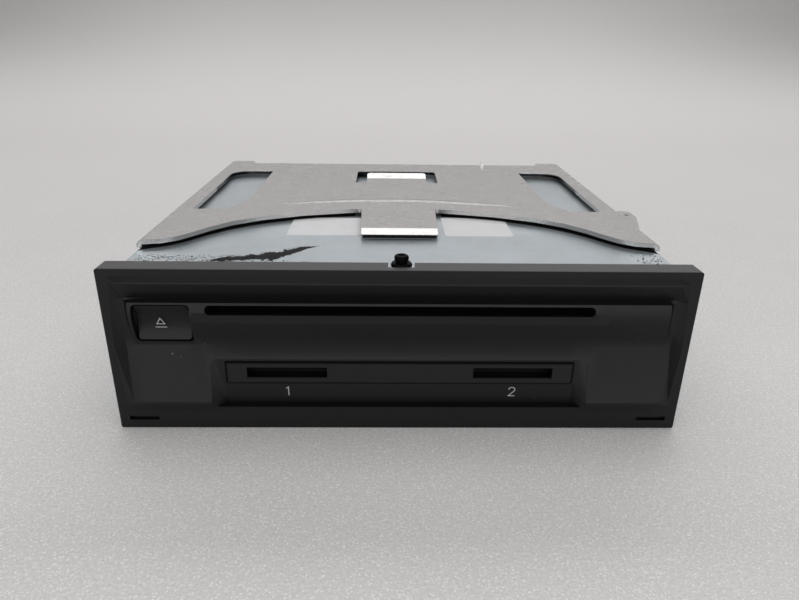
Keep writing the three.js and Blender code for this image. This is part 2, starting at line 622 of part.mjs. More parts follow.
function buildCover() {
  const half = cover.width / 2;
  const lipFoot = cover.top - cover.lip;
  const sheet = extruded(channel(half, cover.top, lipFoot, cover.sheet, cover.bend), "y", [chassis.front, chassis.back]);
  const lipBack = chassis.back + clearance + cover.sheet;
  const tabs = mirrored.map((side) => {
    const across = around(side * rearScrew.x, rearScrew.tabWidth);
    const under = [cover.top - cover.sheet, cover.top];
    return join(
      block(across, [chassis.back - overrun, lipBack], under),
      block(across, [lipBack - cover.sheet, lipBack], [lipFoot, cover.top]),
    );
  });
  const tabHalf = notch.width / 2 - clearance;
  const tabTop = bezel.height - bezel.wall + cover.sheet;
  const tabFront = chassis.front - clearance - notch.depth + clearance;
  const riser = block([-tabHalf, tabHalf], [chassis.front, chassis.front + cover.sheet], [cover.top - cover.sheet, tabTop]);
  const shelf = block([-tabHalf, tabHalf], [tabFront, chassis.front + cover.sheet], [tabTop - cover.sheet, tabTop]);
  const studY = (tabFront + chassis.front) / 2 + stud.setBack;
  const studHole = bar(stud.leg + clearance, "z", [tabTop - cover.sheet - clearance, tabTop + overrun], 0, studY);
  const solidCover = cut(
    join(sheet, riser, shelf, ...tabs),
    studHole,
    ...sideHoles(screw.shank + clearance),
    ...rearHoles(screw.shank + clearance),
  );
  piece(drive, "top_cover", solidCover, "galvanised");

  const { base, baseHeight, neck, neckHeight, head, headHeight, leg, legLength, socket: hollow } = stud;
  const neckTop = baseHeight + neckHeight;
  const headTop = neckTop + headHeight;
  const chamfer = headHeight / 4;
  const body = turned([
    [0, -legLength],
    [leg, -legLength],
    [leg, 0],
    [base, 0],
    [base, baseHeight - chamfer],
    [base - chamfer, baseHeight],
    [neck, baseHeight],
    [neck, neckTop],
    [head, neckTop],
    [head, headTop - chamfer],
    [head - chamfer, headTop],
    [0, headTop],
  ]);
  const [long, wide, deep] = hollow;
  const pocket = block(around(0, long), around(0, wide), [headTop - deep, headTop + overrun]);
  const stem = piece(drive, "locating_stud", cut(body, pocket), "black");
  stem.position.set(0, studY, tabTop + clearance);
}

// The end of a sheet, bent at a line along X: it runs on by one distance and falls by another
function bentEnd(half, at, run, level, sheet, drop, corner) {
  const way = Math.sign(run);
  const length = Math.hypot(run, drop);
  const knee = at - way * sheet * Math.tan(Math.atan2(drop, Math.abs(run)) / 2);
  const side = new THREE.Shape();
  side.moveTo(at - 2 * way * clearance, level);
  side.lineTo(at, level);
  side.lineTo(at + run, level - drop);
  side.lineTo(at + run - (way * drop * sheet) / length, level - drop - (Math.abs(run) * sheet) / length);
  side.lineTo(knee, level - sheet);
  side.lineTo(at - 2 * way * clearance, level - sheet);
  const long = rising([at - 3 * way * clearance, at + run]);
  const radii = way > 0 ? [0, 0, corner, corner] : [corner, corner, 0, 0];
  const plan = extruded(rounded([-half, half], long, radii), "z", [level - bracket.top, level + bracket.top]);
  return extruded(side, "x", [-half - overrun, half + overrun]).intersect(plan);
}

// The bracket's window on one side, seen from above
function windowOutline(side) {
  const { inset, width, front: y0, rear: y1, corner, rearCorner, sweepWidth, sweepLength } = sideWindow;
  const outer = cover.width / 2 - inset;
  const inner = outer - width;
  const outline = new THREE.Shape();
  outline.moveTo(inner + sweepWidth, y0);
  outline.lineTo(outer - corner, y0);
  outline.absarc(outer - corner, y0 + corner, corner, -Math.PI / 2, 0);
  outline.lineTo(outer, y1 - rearCorner);
  outline.absarc(outer - rearCorner, y1 - rearCorner, rearCorner, 0, Math.PI / 2);
  outline.lineTo(inner + corner, y1);
  outline.absarc(inner + corner, y1 - corner, corner, Math.PI / 2, Math.PI);
  outline.lineTo(inner, y0 + sweepLength);
  outline.quadraticCurveTo(inner, y0 + windowSweepShare * sweepLength, inner + sweepWidth, y0);
  return new THREE.Shape(outline.getPoints(curveSteps).map((p) => new THREE.Vector2(side * p.x, p.y)));
}

// The lug on the bracket's right edge, seen from above
function lugOutline(edge) {
  const outer = edge + lug.reach;
  const inner = edge - bracket.bend;
  const outline = new THREE.Shape();
  outline.moveTo(inner, lug.front);
  outline.lineTo(outer, lug.waist);
  outline.lineTo(outer, lug.rear - lug.corner);
  outline.absarc(outer - lug.corner, lug.rear - lug.corner, lug.corner, 0, Math.PI / 2);
  outline.lineTo(inner, lug.rear);
  return outline;
}

function buildBracket() {
  const half = cover.width / 2;
  const { sheet, top, bend, front: cornerY, shoulder, rear } = bracket;
  const { earReach, earWidth, earCorner, earFillet, tabWidth, tabEnd, tabFront, tabFoot, tabCorner } = bracket;
  const foot = cover.top + clearance;
  const drop = top - sheet - foot;
  const tabHalf = tabWidth / 2;
  const [a, b, c, d] = sweepShares;
  const sweepStart = tabHalf + tabCorner;
  const reach = half - sweepStart;
  const fall = shoulder - cornerY;
  const earRear = rear + earReach;
  const earInner = half - earWidth;

  // The right half of the plate's outline seen from above; the left half mirrors it
  const plan = new THREE.Shape();
  plan.moveTo(0, tabFront);
  plan.lineTo(tabEnd / 2, tabFront);
  plan.lineTo(tabHalf, shoulder - tabCorner);
  plan.quadraticCurveTo(tabHalf, shoulder, sweepStart, shoulder);
  plan.bezierCurveTo(
    sweepStart + a * reach,
    shoulder - b * fall,
    sweepStart + c * reach,
    shoulder - d * fall,
    half,
    cornerY,
  );
  plan.lineTo(half, earRear - earCorner);
  plan.absarc(half - earCorner, earRear - earCorner, earCorner, 0, Math.PI / 2);
  plan.lineTo(earInner + earFillet, earRear);
  plan.quadraticCurveTo(earInner, earRear, earInner, rear);
  plan.lineTo(0, rear);
  const outline = symmetric(plan, 2 * curveSteps);

  const long = [cornerY - overrun, earRear + overrun];
  const sheets = extruded(channel(half, top, foot, sheet, bend), "y", long);
  const deep = [foot - overrun, top + overrun];
  const plate = sheets.intersect(extruded(outline, "z", deep));
  const windows = mirrored.map((side) => extruded(windowOutline(side), "z", deep));

  const { root, bendAt, slotRear, slotCorner } = tongue;
  const slotHalf = tongue.slotWidth / 2;
  const tongueHalf = tongue.width / 2;
  const slotOutline = rounded([-slotHalf, slotHalf], [root, slotRear], [clearance, clearance, slotCorner, slotCorner]);
  const kept = block([-tongueHalf, tongueHalf], [root - overrun, bendAt], deep);
  const slot = cut(extruded(slotOutline, "z", deep), kept);

  const tongueEnd = bentEnd(tongueHalf, bendAt, tongue.foot, top, sheet, -tongue.rise, tongue.corner);
  const tabTip = bentEnd(tabEnd / 2, tabFront, -tabFoot, top, sheet, drop, tabCorner);
  const lugPlate = extruded(lugOutline(half), "z", [top - sheet, top]);
  const lugHole = bar(lug.hole.radius, "z", deep, half + lug.hole.inset, lug.hole.y, fewSteps);
  const nibBlock = block(around(nib.x, nib.width), [rear - sheet, rear], [top - sheet / 2, top + nib.height]);
  const whole = cut(join(cut(plate, slot, ...windows), tabTip, tongueEnd, lugPlate, nibBlock), lugHole);
  piece(drive, "mounting_bracket", whole, "plate");
}

// A pan-head screw along Z, its head's seat at zero and its cross recess in the top
function screwSolid() {
  const { head, headHeight, shank, length, recess, slotWidth } = screw;
  const body = turned([
    [0, -length],
    [shank, -length],
    [shank, 0],
    [head, 0],
    [head, headHeight / 2],
    [head - headHeight / 2, headHeight],
    [0, headHeight],
  ], fewSteps);
  const depth = [headHeight - recess, headHeight + overrun];
  const arms = [
    block(around(0, head), around(0, slotWidth), depth),
    block(around(0, slotWidth), around(0, head), depth),
  ];
  return cut(body, ...arms);
}

function buildScrews() {
  const seat = cover.width / 2 + clearance;
  const places = { front: sideScrew.front, rear: sideScrew.rear };
  for (const [end, y] of Object.entries(places)) {
    for (const side of mirrored) {
      const name = `side_screw_${end}_${side > 0 ? "right" : "left"}`;
      const made = piece(drive, name, screwSolid(), "steel");
      made.position.set(side * seat, y, sideScrew.level);
      made.rotation.y = (side * Math.PI) / 2;
    }
  }
  const rearSeat = chassis.back + clearance + cover.sheet + clearance;
  for (const side of mirrored) {
    const made = piece(drive, `rear_screw_${side > 0 ? "right" : "left"}`, screwSolid(), "steel");
    made.position.set(side * rearScrew.x, rearSeat, rearScrew.level);
    made.rotation.x = -Math.PI / 2;
  }
}

// An outline in (X, Z) turned upside down within a height
function upended(shape, height) {
  const points = shape.getPoints(curveSteps).map((p) => new THREE.Vector2(p.x, height - p.y));
  return new THREE.Shape(points.reverse());
}

// The four drawn bosses that the main board stands on, hollow from below
function boardBosses() {
  const { bossTop, bossFoot, standoff, bossX, bossInset } = board;
  const rise = chassis.sheet + standoff;
  const places = mirrored.flatMap((side) =>
    [board.front + bossInset, board.rear - bossInset].map((y) => [side * bossX, y]),
  );
  const lathe = (inset, x, y) => {
    const top = rise - inset;
    const profile = [[0, -inset], [bossFoot - inset, -inset], [bossTop - inset, top], [0, top]];
    const points = profile.map(([radius, height]) => new THREE.Vector2(radius, height));
    return moved(new THREE.LatheGeometry(points, fewSteps).rotateX(Math.PI / 2), x, y, 0);
  };
  const raised = places.map(([x, y]) => lathe(0, x, y));
  const pressed = places.map(([x, y]) => lathe(chassis.sheet, x, y));
  return { raised, pressed };
}

function buildChassis() {
  const { width, height, sheet, bend, wall, front: y0, back: y1 } = chassis;
  const half = width / 2;
  const tub = extruded(upended(channel(half, height, 0, sheet, bend), height), "y", [y0, y1]);
  const endOutline = rounded([sheet / 2 - half, half - sheet / 2], [sheet / 2, height], [bend / 2, bend / 2, 0, 0]);
  const ends = [[y0, y0 + sheet], [y1 - sheet, y1]].map((range) => extruded(endOutline, "y", range));
  const { raised, pressed } = boardBosses();

  const posts = mirrored.flatMap((side) =>
    [cardBoard.postInset, cardBoard.depth - cardBoard.postInset].map((y) =>
      block(
        around(side * cardBoard.postX, cardBoard.postWidth),
        around(y0 + sheet + clearance + y, sheet),
        [sheet / 2, cardBoard.foot - clearance],
      ),
    ),
  );
  const shelves = mirrored.flatMap((side) =>
    [damper.front, damper.rear].map((y) => {
      const across = rising([side * (damper.x - damper.radius - sheet), side * (wall + sheet / 2)]);
      return block(across, around(y, damper.shelfWidth), [damper.shelf - sheet, damper.shelf]);
    }),
  );

  const throughFront = [y0 - overrun, y0 + sheet + clearance];
  const middle = [(button.left + button.right) / 2, (button.top + button.foot) / 2];
  const frontWindows = [
    block(around(0, discSlot.width), throughFront, around(discSlot.middle, 2 * felt.reach - 2 * felt.sheet)),
    block(
      around(middle[0], buttonBoard.switchSide + 2 * sheet),
      throughFront,
      around(middle[1], buttonBoard.switchSide + 2 * sheet),
    ),
    ...mirrored.map((side) =>
      block(
        around((side * cardSlot.spacing) / 2, cardSlot.width + 2 * clearance),
        throughFront,
        around(cardSlot.middle, cardSlot.height - 2 * clearance),
      ),
    ),
    ...mirrored.flatMap((side) =>
      [hook.high, hook.low].map((level) => {
        const across = around(side * hook.x, hook.width + sheet);
        return block(across, throughFront, around(level, hook.slotHeight));
      }),
    ),
  ];
  const throughBack = [y1 - sheet - overrun, y1 + overrun];
  const backWindows = [plug, sidePlug].map(({ x, width: wide, height: tall }) =>
    block(around(x, wide + 2 * clearance), throughBack, [board.top, board.top + 3 * clearance + tall]),
  );
  const throughSides = [-cover.width, cover.width];
  const fixings = mirrored.map((end) =>
    bar(fixing.radius, "x", throughSides, (end * fixing.spacing) / 2, fixing.level),
  );
  const sideVents = vent.sidePlaces.map((place) =>
    extruded(
      rounded(around(y1 - vent.inset - place * vent.pitch, vent.width), vent.sideLevels, vent.corner),
      "x",
      throughSides,
      1,
    ),
  );
  const floorVents = vent.floorPlaces.map((place) =>
    extruded(
      rounded(around(place * vent.pitch, vent.width), around(vent.floorY, vent.floorLength), vent.corner),
      "z",
      [-overrun, sheet + overrun],
      1,
    ),
  );
  const body = cut(
    cut(join(tub, ...ends, ...raised), ...pressed),
    ...frontWindows,
    ...backWindows,
    ...fixings,
    ...sideVents,
    ...floorVents,
    ...sideHoles(screw.shank + clearance),
    ...rearHoles(screw.shank + clearance),
  );
  piece(drive, "chassis_tray", join(body, ...posts, ...shelves), "galvanised");
}

function buildDampers() {
  const { radius, height, bore } = damper;
  const ends = { front: damper.front, rear: damper.rear };
  for (const [end, y] of Object.entries(ends)) {
    for (const side of mirrored) {
      const body = turned(damperShares.map(([across, up]) => [across * radius, up * height]), fewSteps);
      const well = bar(bore, "z", [bore, height + overrun], 0, 0, fewSteps);
      const made = piece(drive, `damper_${end}_${side > 0 ? "right" : "left"}`, cut(body, well), "rubber");
      made.position.set(side * damper.x, y, damper.shelf + clearance);
    }
  }
}

function buildBoards() {
  const half = board.width / 2;
  const sheetRange = [board.foot, board.top];
  const plate = extruded(rounded([-half, half], [board.front, board.rear], board.sheet), "z", sheetRange);
  const standing = (size, x, y) => {
    const [wide, deep, high] = size;
    return block(around(x, wide), around(y, deep), [board.top - board.sheet / 2, board.top + high]);
  };
  const canRange = [board.top - board.sheet / 2, board.top + chips.canHeight];
  const parts = [
    ...chipShares.processors.map(([x, y]) => standing(chips.processor, x * half, y * half)),
    ...chipShares.memories.map(([x, y]) => standing(chips.memory, x * half, y * half)),
    ...chipShares.coils.map(([x, y]) => standing(chips.coil, x * half, y * half)),
    ...chipShares.cans.map(([x, y]) => bar(chips.can, "z", canRange, x * half, y * half)),
  ];
  piece(drive, "main_board", join(plate, ...parts), "board");

  const { width, depth, top, foot } = cardBoard;
  const front0 = chassis.front + chassis.sheet + clearance;
  piece(drive, "card_board", block([-width / 2, width / 2], [front0, front0 + depth], [foot, top]), "board");

  for (const side of mirrored) {
    const number = side > 0 ? 2 : 1;
    const x = (side * cardSlot.spacing) / 2;
    const seat = top + clearance;
    const shell = block(around(x, socket.width), [front0, front0 + socket.depth], [seat, seat + socket.height]);
    const back = front0 + socket.depth - socket.wall;
    const well = block(
      around(x, socket.width - 2 * socket.wall),
      [front0 - overrun, back],
      [seat + socket.floor, seat + socket.height - socket.floor],
    );
    piece(drive, `card_socket_${number}`, cut(shell, well), "steel");

    const edge = x + socket.width / 2 - socket.wall - clearance;
    const end = back - clearance - slider.travel;
    const low = seat + socket.floor + clearance;
    const body = block([edge - slider.width, edge], [end - slider.length, end], [low, low + slider.height]);
    const toe = block(
      [edge - 2 * slider.width, edge],
      [end - slider.width, end],
      [low, low + slider.height],
    );
    piece(drive, `card_slider_${number}`, join(body, toe), "white");
  }
}

function buildRear() {
  const { x, width, height, depth, shell, floor, proud, pins, pinSide, pinLength } = plug;
  const seat = board.top + clearance;
  const out = chassis.back + proud;
  const body = block(around(x, width), [out - depth, out], [seat, seat + height]);
  const room = block(
    around(x, width - 2 * shell),
    [out - depth + floor, out + overrun],
    [seat + shell, seat + height - shell],
  );
  const pinRange = [out - depth + floor / 2, out - depth + floor + pinLength];
  const rows = [height / 3, (height * 2) / 3];
  const contacts = rows.flatMap((level) =>
    Array.from({ length: pins }, (_, n) => {
      const share = (n + 0.5) / pins - 0.5;
      const place = x + share * (width - 2 * shell);
      return block(around(place, pinSide), pinRange, around(seat + level, pinSide));
    }),
  );
  piece(drive, "main_connector", join(cut(body, room), ...contacts), "black");

  const { x: sideX, width: wide, height: tall } = sidePlug;
  const small = block(around(sideX, wide), [out - depth, out], [seat, seat + tall]);
  const well = block(
    around(sideX, wide - 2 * shell),
    [out - depth + floor, out + overrun],
    [seat + shell, seat + tall - shell],
  );
  piece(drive, "side_connector", cut(small, well), "white");

  const start = chassis.back + clearance;
  const { left, right, foot: low, topLeft, topRight, base, fins, fin, finDepth, finTop } = cooler;
  const wall = new THREE.Shape();
  wall.moveTo(left, low);
  wall.lineTo(right, low);
  wall.lineTo(right, topRight);
  wall.lineTo(left, topLeft);
  const slab = extruded(wall, "y", [start, start + base]);
  const blades = Array.from({ length: fins }, (_, n) => {
    const place = left + fin + ((right - left - 2 * fin) * n) / (fins - 1);
    return block(around(place, fin), [start + base / 2, start + base + finDepth], [low + fin, finTop]);
  });
  piece(drive, "rear_cooler", join(slab, ...blades), "cooler");
}

const deckGroup = new THREE.Group();
deckGroup.position.set(0, deck.spindleY, deck.level);
drive.add(deckGroup);
const toDeck = (y) => y - deck.spindleY; // a Y of the casing, in the deck's own frame

// Axes of the feed gears in (Y, Z), and how far each is turned so that its teeth mesh with the one before
const pitchRadius = (count) => (gear.module * count) / 2;
function feedTrain() {
  const along = ([y, z], angle, first, second) => {
    const reach = pitchRadius(first) + pitchRadius(second);
    return [y + reach * Math.cos(radians(angle)), z + reach * Math.sin(radians(angle))];
  };
  const rollerAt = [roller.y, roller.level];
  const idlerAt = along(rollerAt, gearAngles.idler, teeth.roller, teeth.idler);
  const wheelAt = along(idlerAt, gearAngles.wheel, teeth.idler, teeth.pinion);
  const motorAt = along(wheelAt, gearAngles.motor, teeth.wheel, teeth.motor);
  const meshed = (turn, angle, first, second) => {
    const share = ((radians(angle) - turn) * first) / (2 * Math.PI);
    return radians(angle) + Math.PI - ((0.5 - share) * 2 * Math.PI) / second;
  };
  const rollerTurn = 0;
  const idlerTurn = meshed(rollerTurn, gearAngles.idler, teeth.roller, teeth.idler);
  const pinionTurn = meshed(idlerTurn, gearAngles.wheel, teeth.idler, teeth.pinion);
  const motorTurn = meshed(0, gearAngles.motor, teeth.wheel, teeth.motor);
  return { rollerAt, idlerAt, wheelAt, motorAt, rollerTurn, idlerTurn, pinionTurn, motorTurn };
}

// The outline of a spur gear with involute flanks, its first tooth turned up from Y by an angle
function gearOutline(count, turn) {
  const pitch = pitchRadius(count);
  const base = pitch * Math.cos(radians(gear.pressure));
  const tip = pitch + gear.addendumShare * gear.module;
  const root = pitch - gear.dedendumShare * gear.module;
  const involute = (radius) => {
    const angle = Math.acos(Math.min(base / radius, 1));
    return Math.tan(angle) - angle;
  };
  const halfTooth = (Math.PI * gear.module) / 4 - gear.backlash / 2;
  const halfAngle = (radius) => halfTooth / pitch + involute(pitch) - involute(radius);
  const start = Math.max(base, root);
  const flank = Array.from({ length: gear.flankSteps }, (_, n) => {
    const radius = start + ((tip - start) * n) / (gear.flankSteps - 1);
    return [radius, halfAngle(radius)];
  });
  if (root < start) flank.unshift([root, halfAngle(start)]);
  const points = [];
  for (let n = 0; n < count; n++) {
    const middle = turn + (n * 2 * Math.PI) / count;
    const rising = flank.map(([radius, half]) => [radius, middle - half]);
    const falling = flank.map(([radius, half]) => [radius, middle + half]).reverse();
    for (const [radius, angle] of [...rising, ...falling]) {
      points.push(new THREE.Vector2(radius * Math.cos(angle), radius * Math.sin(angle)));
    }
  }
  return new THREE.Shape(points);
}

// A gear on its own axis along X, between two values
const gearSolid = (count, turn, range) => extruded(gearOutline(count, turn), "x", range);

function buildDeck() {
  const half = deck.width / 2;
  const { sheet } = deck;
  const plate = [-sheet, 0];
  const [wide, from, to] = deck.sledWindow;
  const opening = extruded(rounded(around(0, wide), [from, to], deck.corner), "z", [-sheet - overrun, overrun]);
  const reach = damper.x + damper.earWidth / 2;
  const [rearEar0, rearEar1] = around(toDeck(damper.rear), damper.earWidth);
  const plan = new THREE.Shape();
  plan.moveTo(0, deck.front);
  plan.lineTo(reach, deck.front);
  plan.lineTo(reach, deck.front + damper.earWidth);
  plan.lineTo(half, deck.front + damper.earWidth);
  plan.lineTo(half, rearEar0);
  plan.lineTo(reach, rearEar0);
  plan.lineTo(reach, rearEar1);
  plan.lineTo(half, rearEar1);
  plan.lineTo(half, deck.rear - deck.corner);
  plan.quadraticCurveTo(half, deck.rear, half - deck.corner, deck.rear);
  plan.lineTo(0, deck.rear);
  const outline = symmetric(plan, curveSteps);
  const pins = mirrored.flatMap((side) =>
    [damper.front, damper.rear].map((y) =>
      bar(damper.pin, "z", [-sheet - damper.pinLength, -sheet / 2], side * damper.x, toDeck(y), fewSteps),
    ),
  );

  const { rollerAt, idlerAt, wheelAt, motorAt } = feedTrain();
  const outside = ear.x;
  const rollerEars = mirrored.map((side) => {
    const across = rising([side * (outside - ear.sheet), side * outside]);
    const [y, z] = rollerAt;
    const low = side > 0 ? sidePlate.foot : -sheet / 2;
    return block(across, around(y, ear.width), [low, z + roller.bush + ear.margin]);
  });
  const bushHoles = bar(roller.bush + clearance, "x", [-cover.width, cover.width], ...rollerAt);
  const sideWall = block([outside - ear.sheet, outside], [sidePlate.front, sidePlate.rear], [sidePlate.foot, -sheet / 2]);
  const stud0 = outside - ear.sheet / 2;
  const studs = [
    [idlerAt, gearPlanes.inner[1] + clearance],
    [wheelAt, gearPlanes.outer[1] + clearance],
  ].map(([at, end]) =>
    join(
      bar(gear.stud, "x", [stud0, end], ...at, fewSteps),
      bar(gear.stud + 2 * clearance, "x", [end, end + 2 * clearance], ...at, fewSteps),
    ),
  );
  const throughPlate = [outside - 2 * ear.sheet, outside + ear.sheet];
  const shaftHole = bar(feedMotor.shaft + 2 * clearance, "x", throughPlate, ...motorAt);

  const capRange = [-cam.outer - 3 * clearance, -cam.outer - clearance];
  const camStuds = cam.studs.map((y) =>
    join(
      bar(gear.stud, "x", [-cam.outer - clearance, -stud0], y, cam.middle, fewSteps),
      bar(cam.slot / 2 + clearance, "x", capRange, y, cam.middle, fewSteps),
    ),
  );
  const camWall = block([-outside, ear.sheet - outside], [cam.front, cam.rear], [-sheet / 2, cam.middle + cam.slot]);

  const rodX = rod.spacing / 2;
  const rodEnds = [[rod.front, rod.front + rod.block], [rod.rear - rod.block, rod.rear]];
  const rodBlocks = mirrored.flatMap((side) =>
    rodEnds.map((range) =>
      block(around(side * rodX, rod.block), range, [-sheet / 2, rod.level + rod.radius + sheet]),
    ),
  );
  const rodHoles = mirrored.map((side) =>
    bar(rod.radius + clearance, "y", [deck.front, deck.rear], side * rodX, rod.level),
  );
  const leadBlock = block(
    around(lead.x, rod.block),
    [rod.front, rod.front + rod.block],
    [-sheet / 2, lead.level + lead.radius + sheet],
  );
  const leadHole = bar(lead.radius + running, "y", [rod.front - overrun, deck.rear - rod.block], lead.x, lead.level);

  const postX = arm.rootWidth / 2 + clearance;
  const posts = mirrored.map((side) => {
    const across = rising([side * postX, side * (postX + sheet)]);
    const pin = rising([side * (postX - arm.sheet - 3 * clearance), side * (postX + sheet / 2)]);
    return join(
      block(across, around(arm.pivotY, 2 * arm.ear), [-sheet / 2, arm.pivotZ + arm.ear]),
      bar(arm.pin, "x", pin, arm.pivotY, arm.pivotZ, fewSteps),
    );
  });
  const base = cut(
    join(extruded(outline, "z", plate), ...pins, ...rollerEars, sideWall, camWall, ...rodBlocks, leadBlock),
    opening,
    bushHoles,
    shaftHole,
    ...rodHoles,
    leadHole,
  );
  piece(deckGroup, "deck_frame", join(base, ...studs, ...camStuds, ...posts), "galvanised");
}

function buildSpindle() {
  const { radius, height, shaft } = motor;
  const skirt = radius / 6;
  const can = turned([
    [0, clearance],
    [radius, clearance],
    [radius, height / 3],
    [radius - skirt / 2, height / 3],
    [radius - skirt, height],
    [0, height],
  ]);
  const bore = bar(shaft + running, "z", [2 * clearance, height + overrun]);
  piece(deckGroup, "spindle_motor", cut(can, bore), "steel");

  const { radius: rim, plate, cone, coneTop, coneHeight } = turntable;
  const seat = deck.drop - disc.thickness / 2;
  const under = seat - plate;
  const table = turned([
    [0, 3 * clearance],
    [shaft, 3 * clearance],
    [shaft, height + clearance],
    [cone, height + clearance],
    [cone, under],
    [rim, under],
    [rim, seat],
    [cone, seat],
    [coneTop, seat + coneHeight],
    [0, seat + coneHeight],
  ]);
  piece(deckGroup, "turntable", table, "black");
}

function buildPickup() {
  const rodX = rod.spacing / 2;
  const names = { main: -1, sub: 1 };
  for (const [name, side] of Object.entries(names)) {
    const length = [rod.front + clearance, rod.rear - clearance];
    piece(deckGroup, `guide_rod_${name}`, bar(rod.radius, "y", length, side * rodX, rod.level), "steel");
  }
  const { width, depth, height, foot, inner, lens, lensRim, rimHeight } = sled;
  const wide = rod.spacing + 2 * (rod.radius + deck.sheet);
  const top = foot + height;
  const nutSide = lead.radius + clearance + deck.sheet;
  const nut = block(
    [lead.x - nutSide, -wide / 2 + overrun],
    around(inner, rod.block),
    [lead.level - nutSide, lead.level + nutSide],
  );
  const long = [inner - depth, inner + depth];
  const body = join(
    extruded(rounded(around(0, width), around(inner, depth), deck.corner / 2), "z", [foot, top]),
    block(around(0, wide), around(inner, depth / 2), [rod.level - rod.radius - deck.sheet, top + deck.sheet]),
    nut,
  );
  const holes = [
    ...mirrored.map((side) => bar(rod.radius + running, "y", long, side * rodX, rod.level)),
    bar(lead.radius + clearance, "y", long, lead.x, lead.level),
    bar(lensRim + clearance, "z", [top - deck.sheet, top + 2 * overrun], 0, inner),
  ];
  piece(deckGroup, "pickup_sled", cut(body, ...holes), "plate");

  const lensSeat = top - deck.sheet + clearance;
  const holder = turned([
    [0, 0],
    [lensRim, 0],
    [lensRim, rimHeight],
    [lens, rimHeight],
    [lens * lensShares[0], rimHeight + lens * lensShares[1]],
    [0, rimHeight + lens * lensShares[2]],
  ]);
  const objective = piece(deckGroup, "objective_lens", holder, "lens");
  objective.position.set(0, inner, lensSeat);

  const motorFront = deck.rear - rod.block - lead.motorLength;
  const can = bar(lead.motorRadius, "y", [motorFront, motorFront + lead.motorLength], lead.x, lead.level);
  const bore = bar(lead.radius + running, "y", [motorFront - overrun, motorFront + rod.block], lead.x, lead.level);
  piece(deckGroup, "sled_motor", cut(can, bore), "steel");
  const screwRange = [rod.front + clearance, motorFront + rod.block - clearance];
  const thread = bar(lead.radius, "y", screwRange, 0, 0);
  const leadScrew = piece(deckGroup, "lead_screw", thread, "steel");
  leadScrew.position.set(lead.x, 0, lead.level);
}

function buildClamp() {
  const { level, sheet, pivotY, pivotZ, width, rootWidth, ear: lug, tip } = arm;
  const rootHalf = rootWidth / 2 - clearance;
  const plan = new THREE.Shape();
  plan.moveTo(-rootHalf, pivotY + lug);
  plan.lineTo(-rootHalf, pivotY - 2 * lug);
  plan.quadraticCurveTo(-width / 2, pivotY - 3 * lug, -width / 2, pivotY / 2);
  plan.lineTo(-width / 2, 0);
  plan.absarc(0, 0, tip, Math.PI, 2 * Math.PI);
  plan.lineTo(width / 2, pivotY / 2);
  plan.quadraticCurveTo(width / 2, pivotY - 3 * lug, rootHalf, pivotY - 2 * lug);
  plan.lineTo(rootHalf, pivotY + lug);
  const plate = extruded(plan, "z", [level, level + sheet]);
  const lugs = mirrored.map((side) => {
    const across = rising([side * (rootHalf - sheet), side * rootHalf]);
    return block(across, around(pivotY, 2 * lug), [pivotZ - arm.pin - sheet, level + sheet / 2]);
  });
  const finger = block([-cam.outer, -width / 2 + sheet], around(cam.finger, cam.fingerWidth), [level, level + sheet]);
  const holes = [
    bar(arm.pin + running, "x", [-cover.width, cover.width], pivotY, pivotZ),
    bar(clamper.neck + 2 * clearance, "z", [level - overrun, level + sheet + overrun]),
    bar(width / 4, "z", [level - overrun, level + sheet + overrun], 0, pivotY / 2),
  ];
  piece(deckGroup, "clamp_arm", cut(join(plate, finger, ...lugs), ...holes), "steel");

  const { radius, height, neck, flange, flangeHeight } = clamper;
  const { cone, coneHeight } = turntable;
  const under = level - clearance;
  const over = level + sheet + clearance;
  const puck = turned([
    [0, under - height + coneHeight],
    [cone + clearance, under - height + coneHeight],
    [cone + clearance, under - height],
    [radius, under - height],
    [radius, under],
    [neck, under],
    [neck, over],
    [flange, over],
    [flange, over + flangeHeight],
    [0, over + flangeHeight],
  ]);
  piece(deckGroup, "clamper", puck, "black");
}

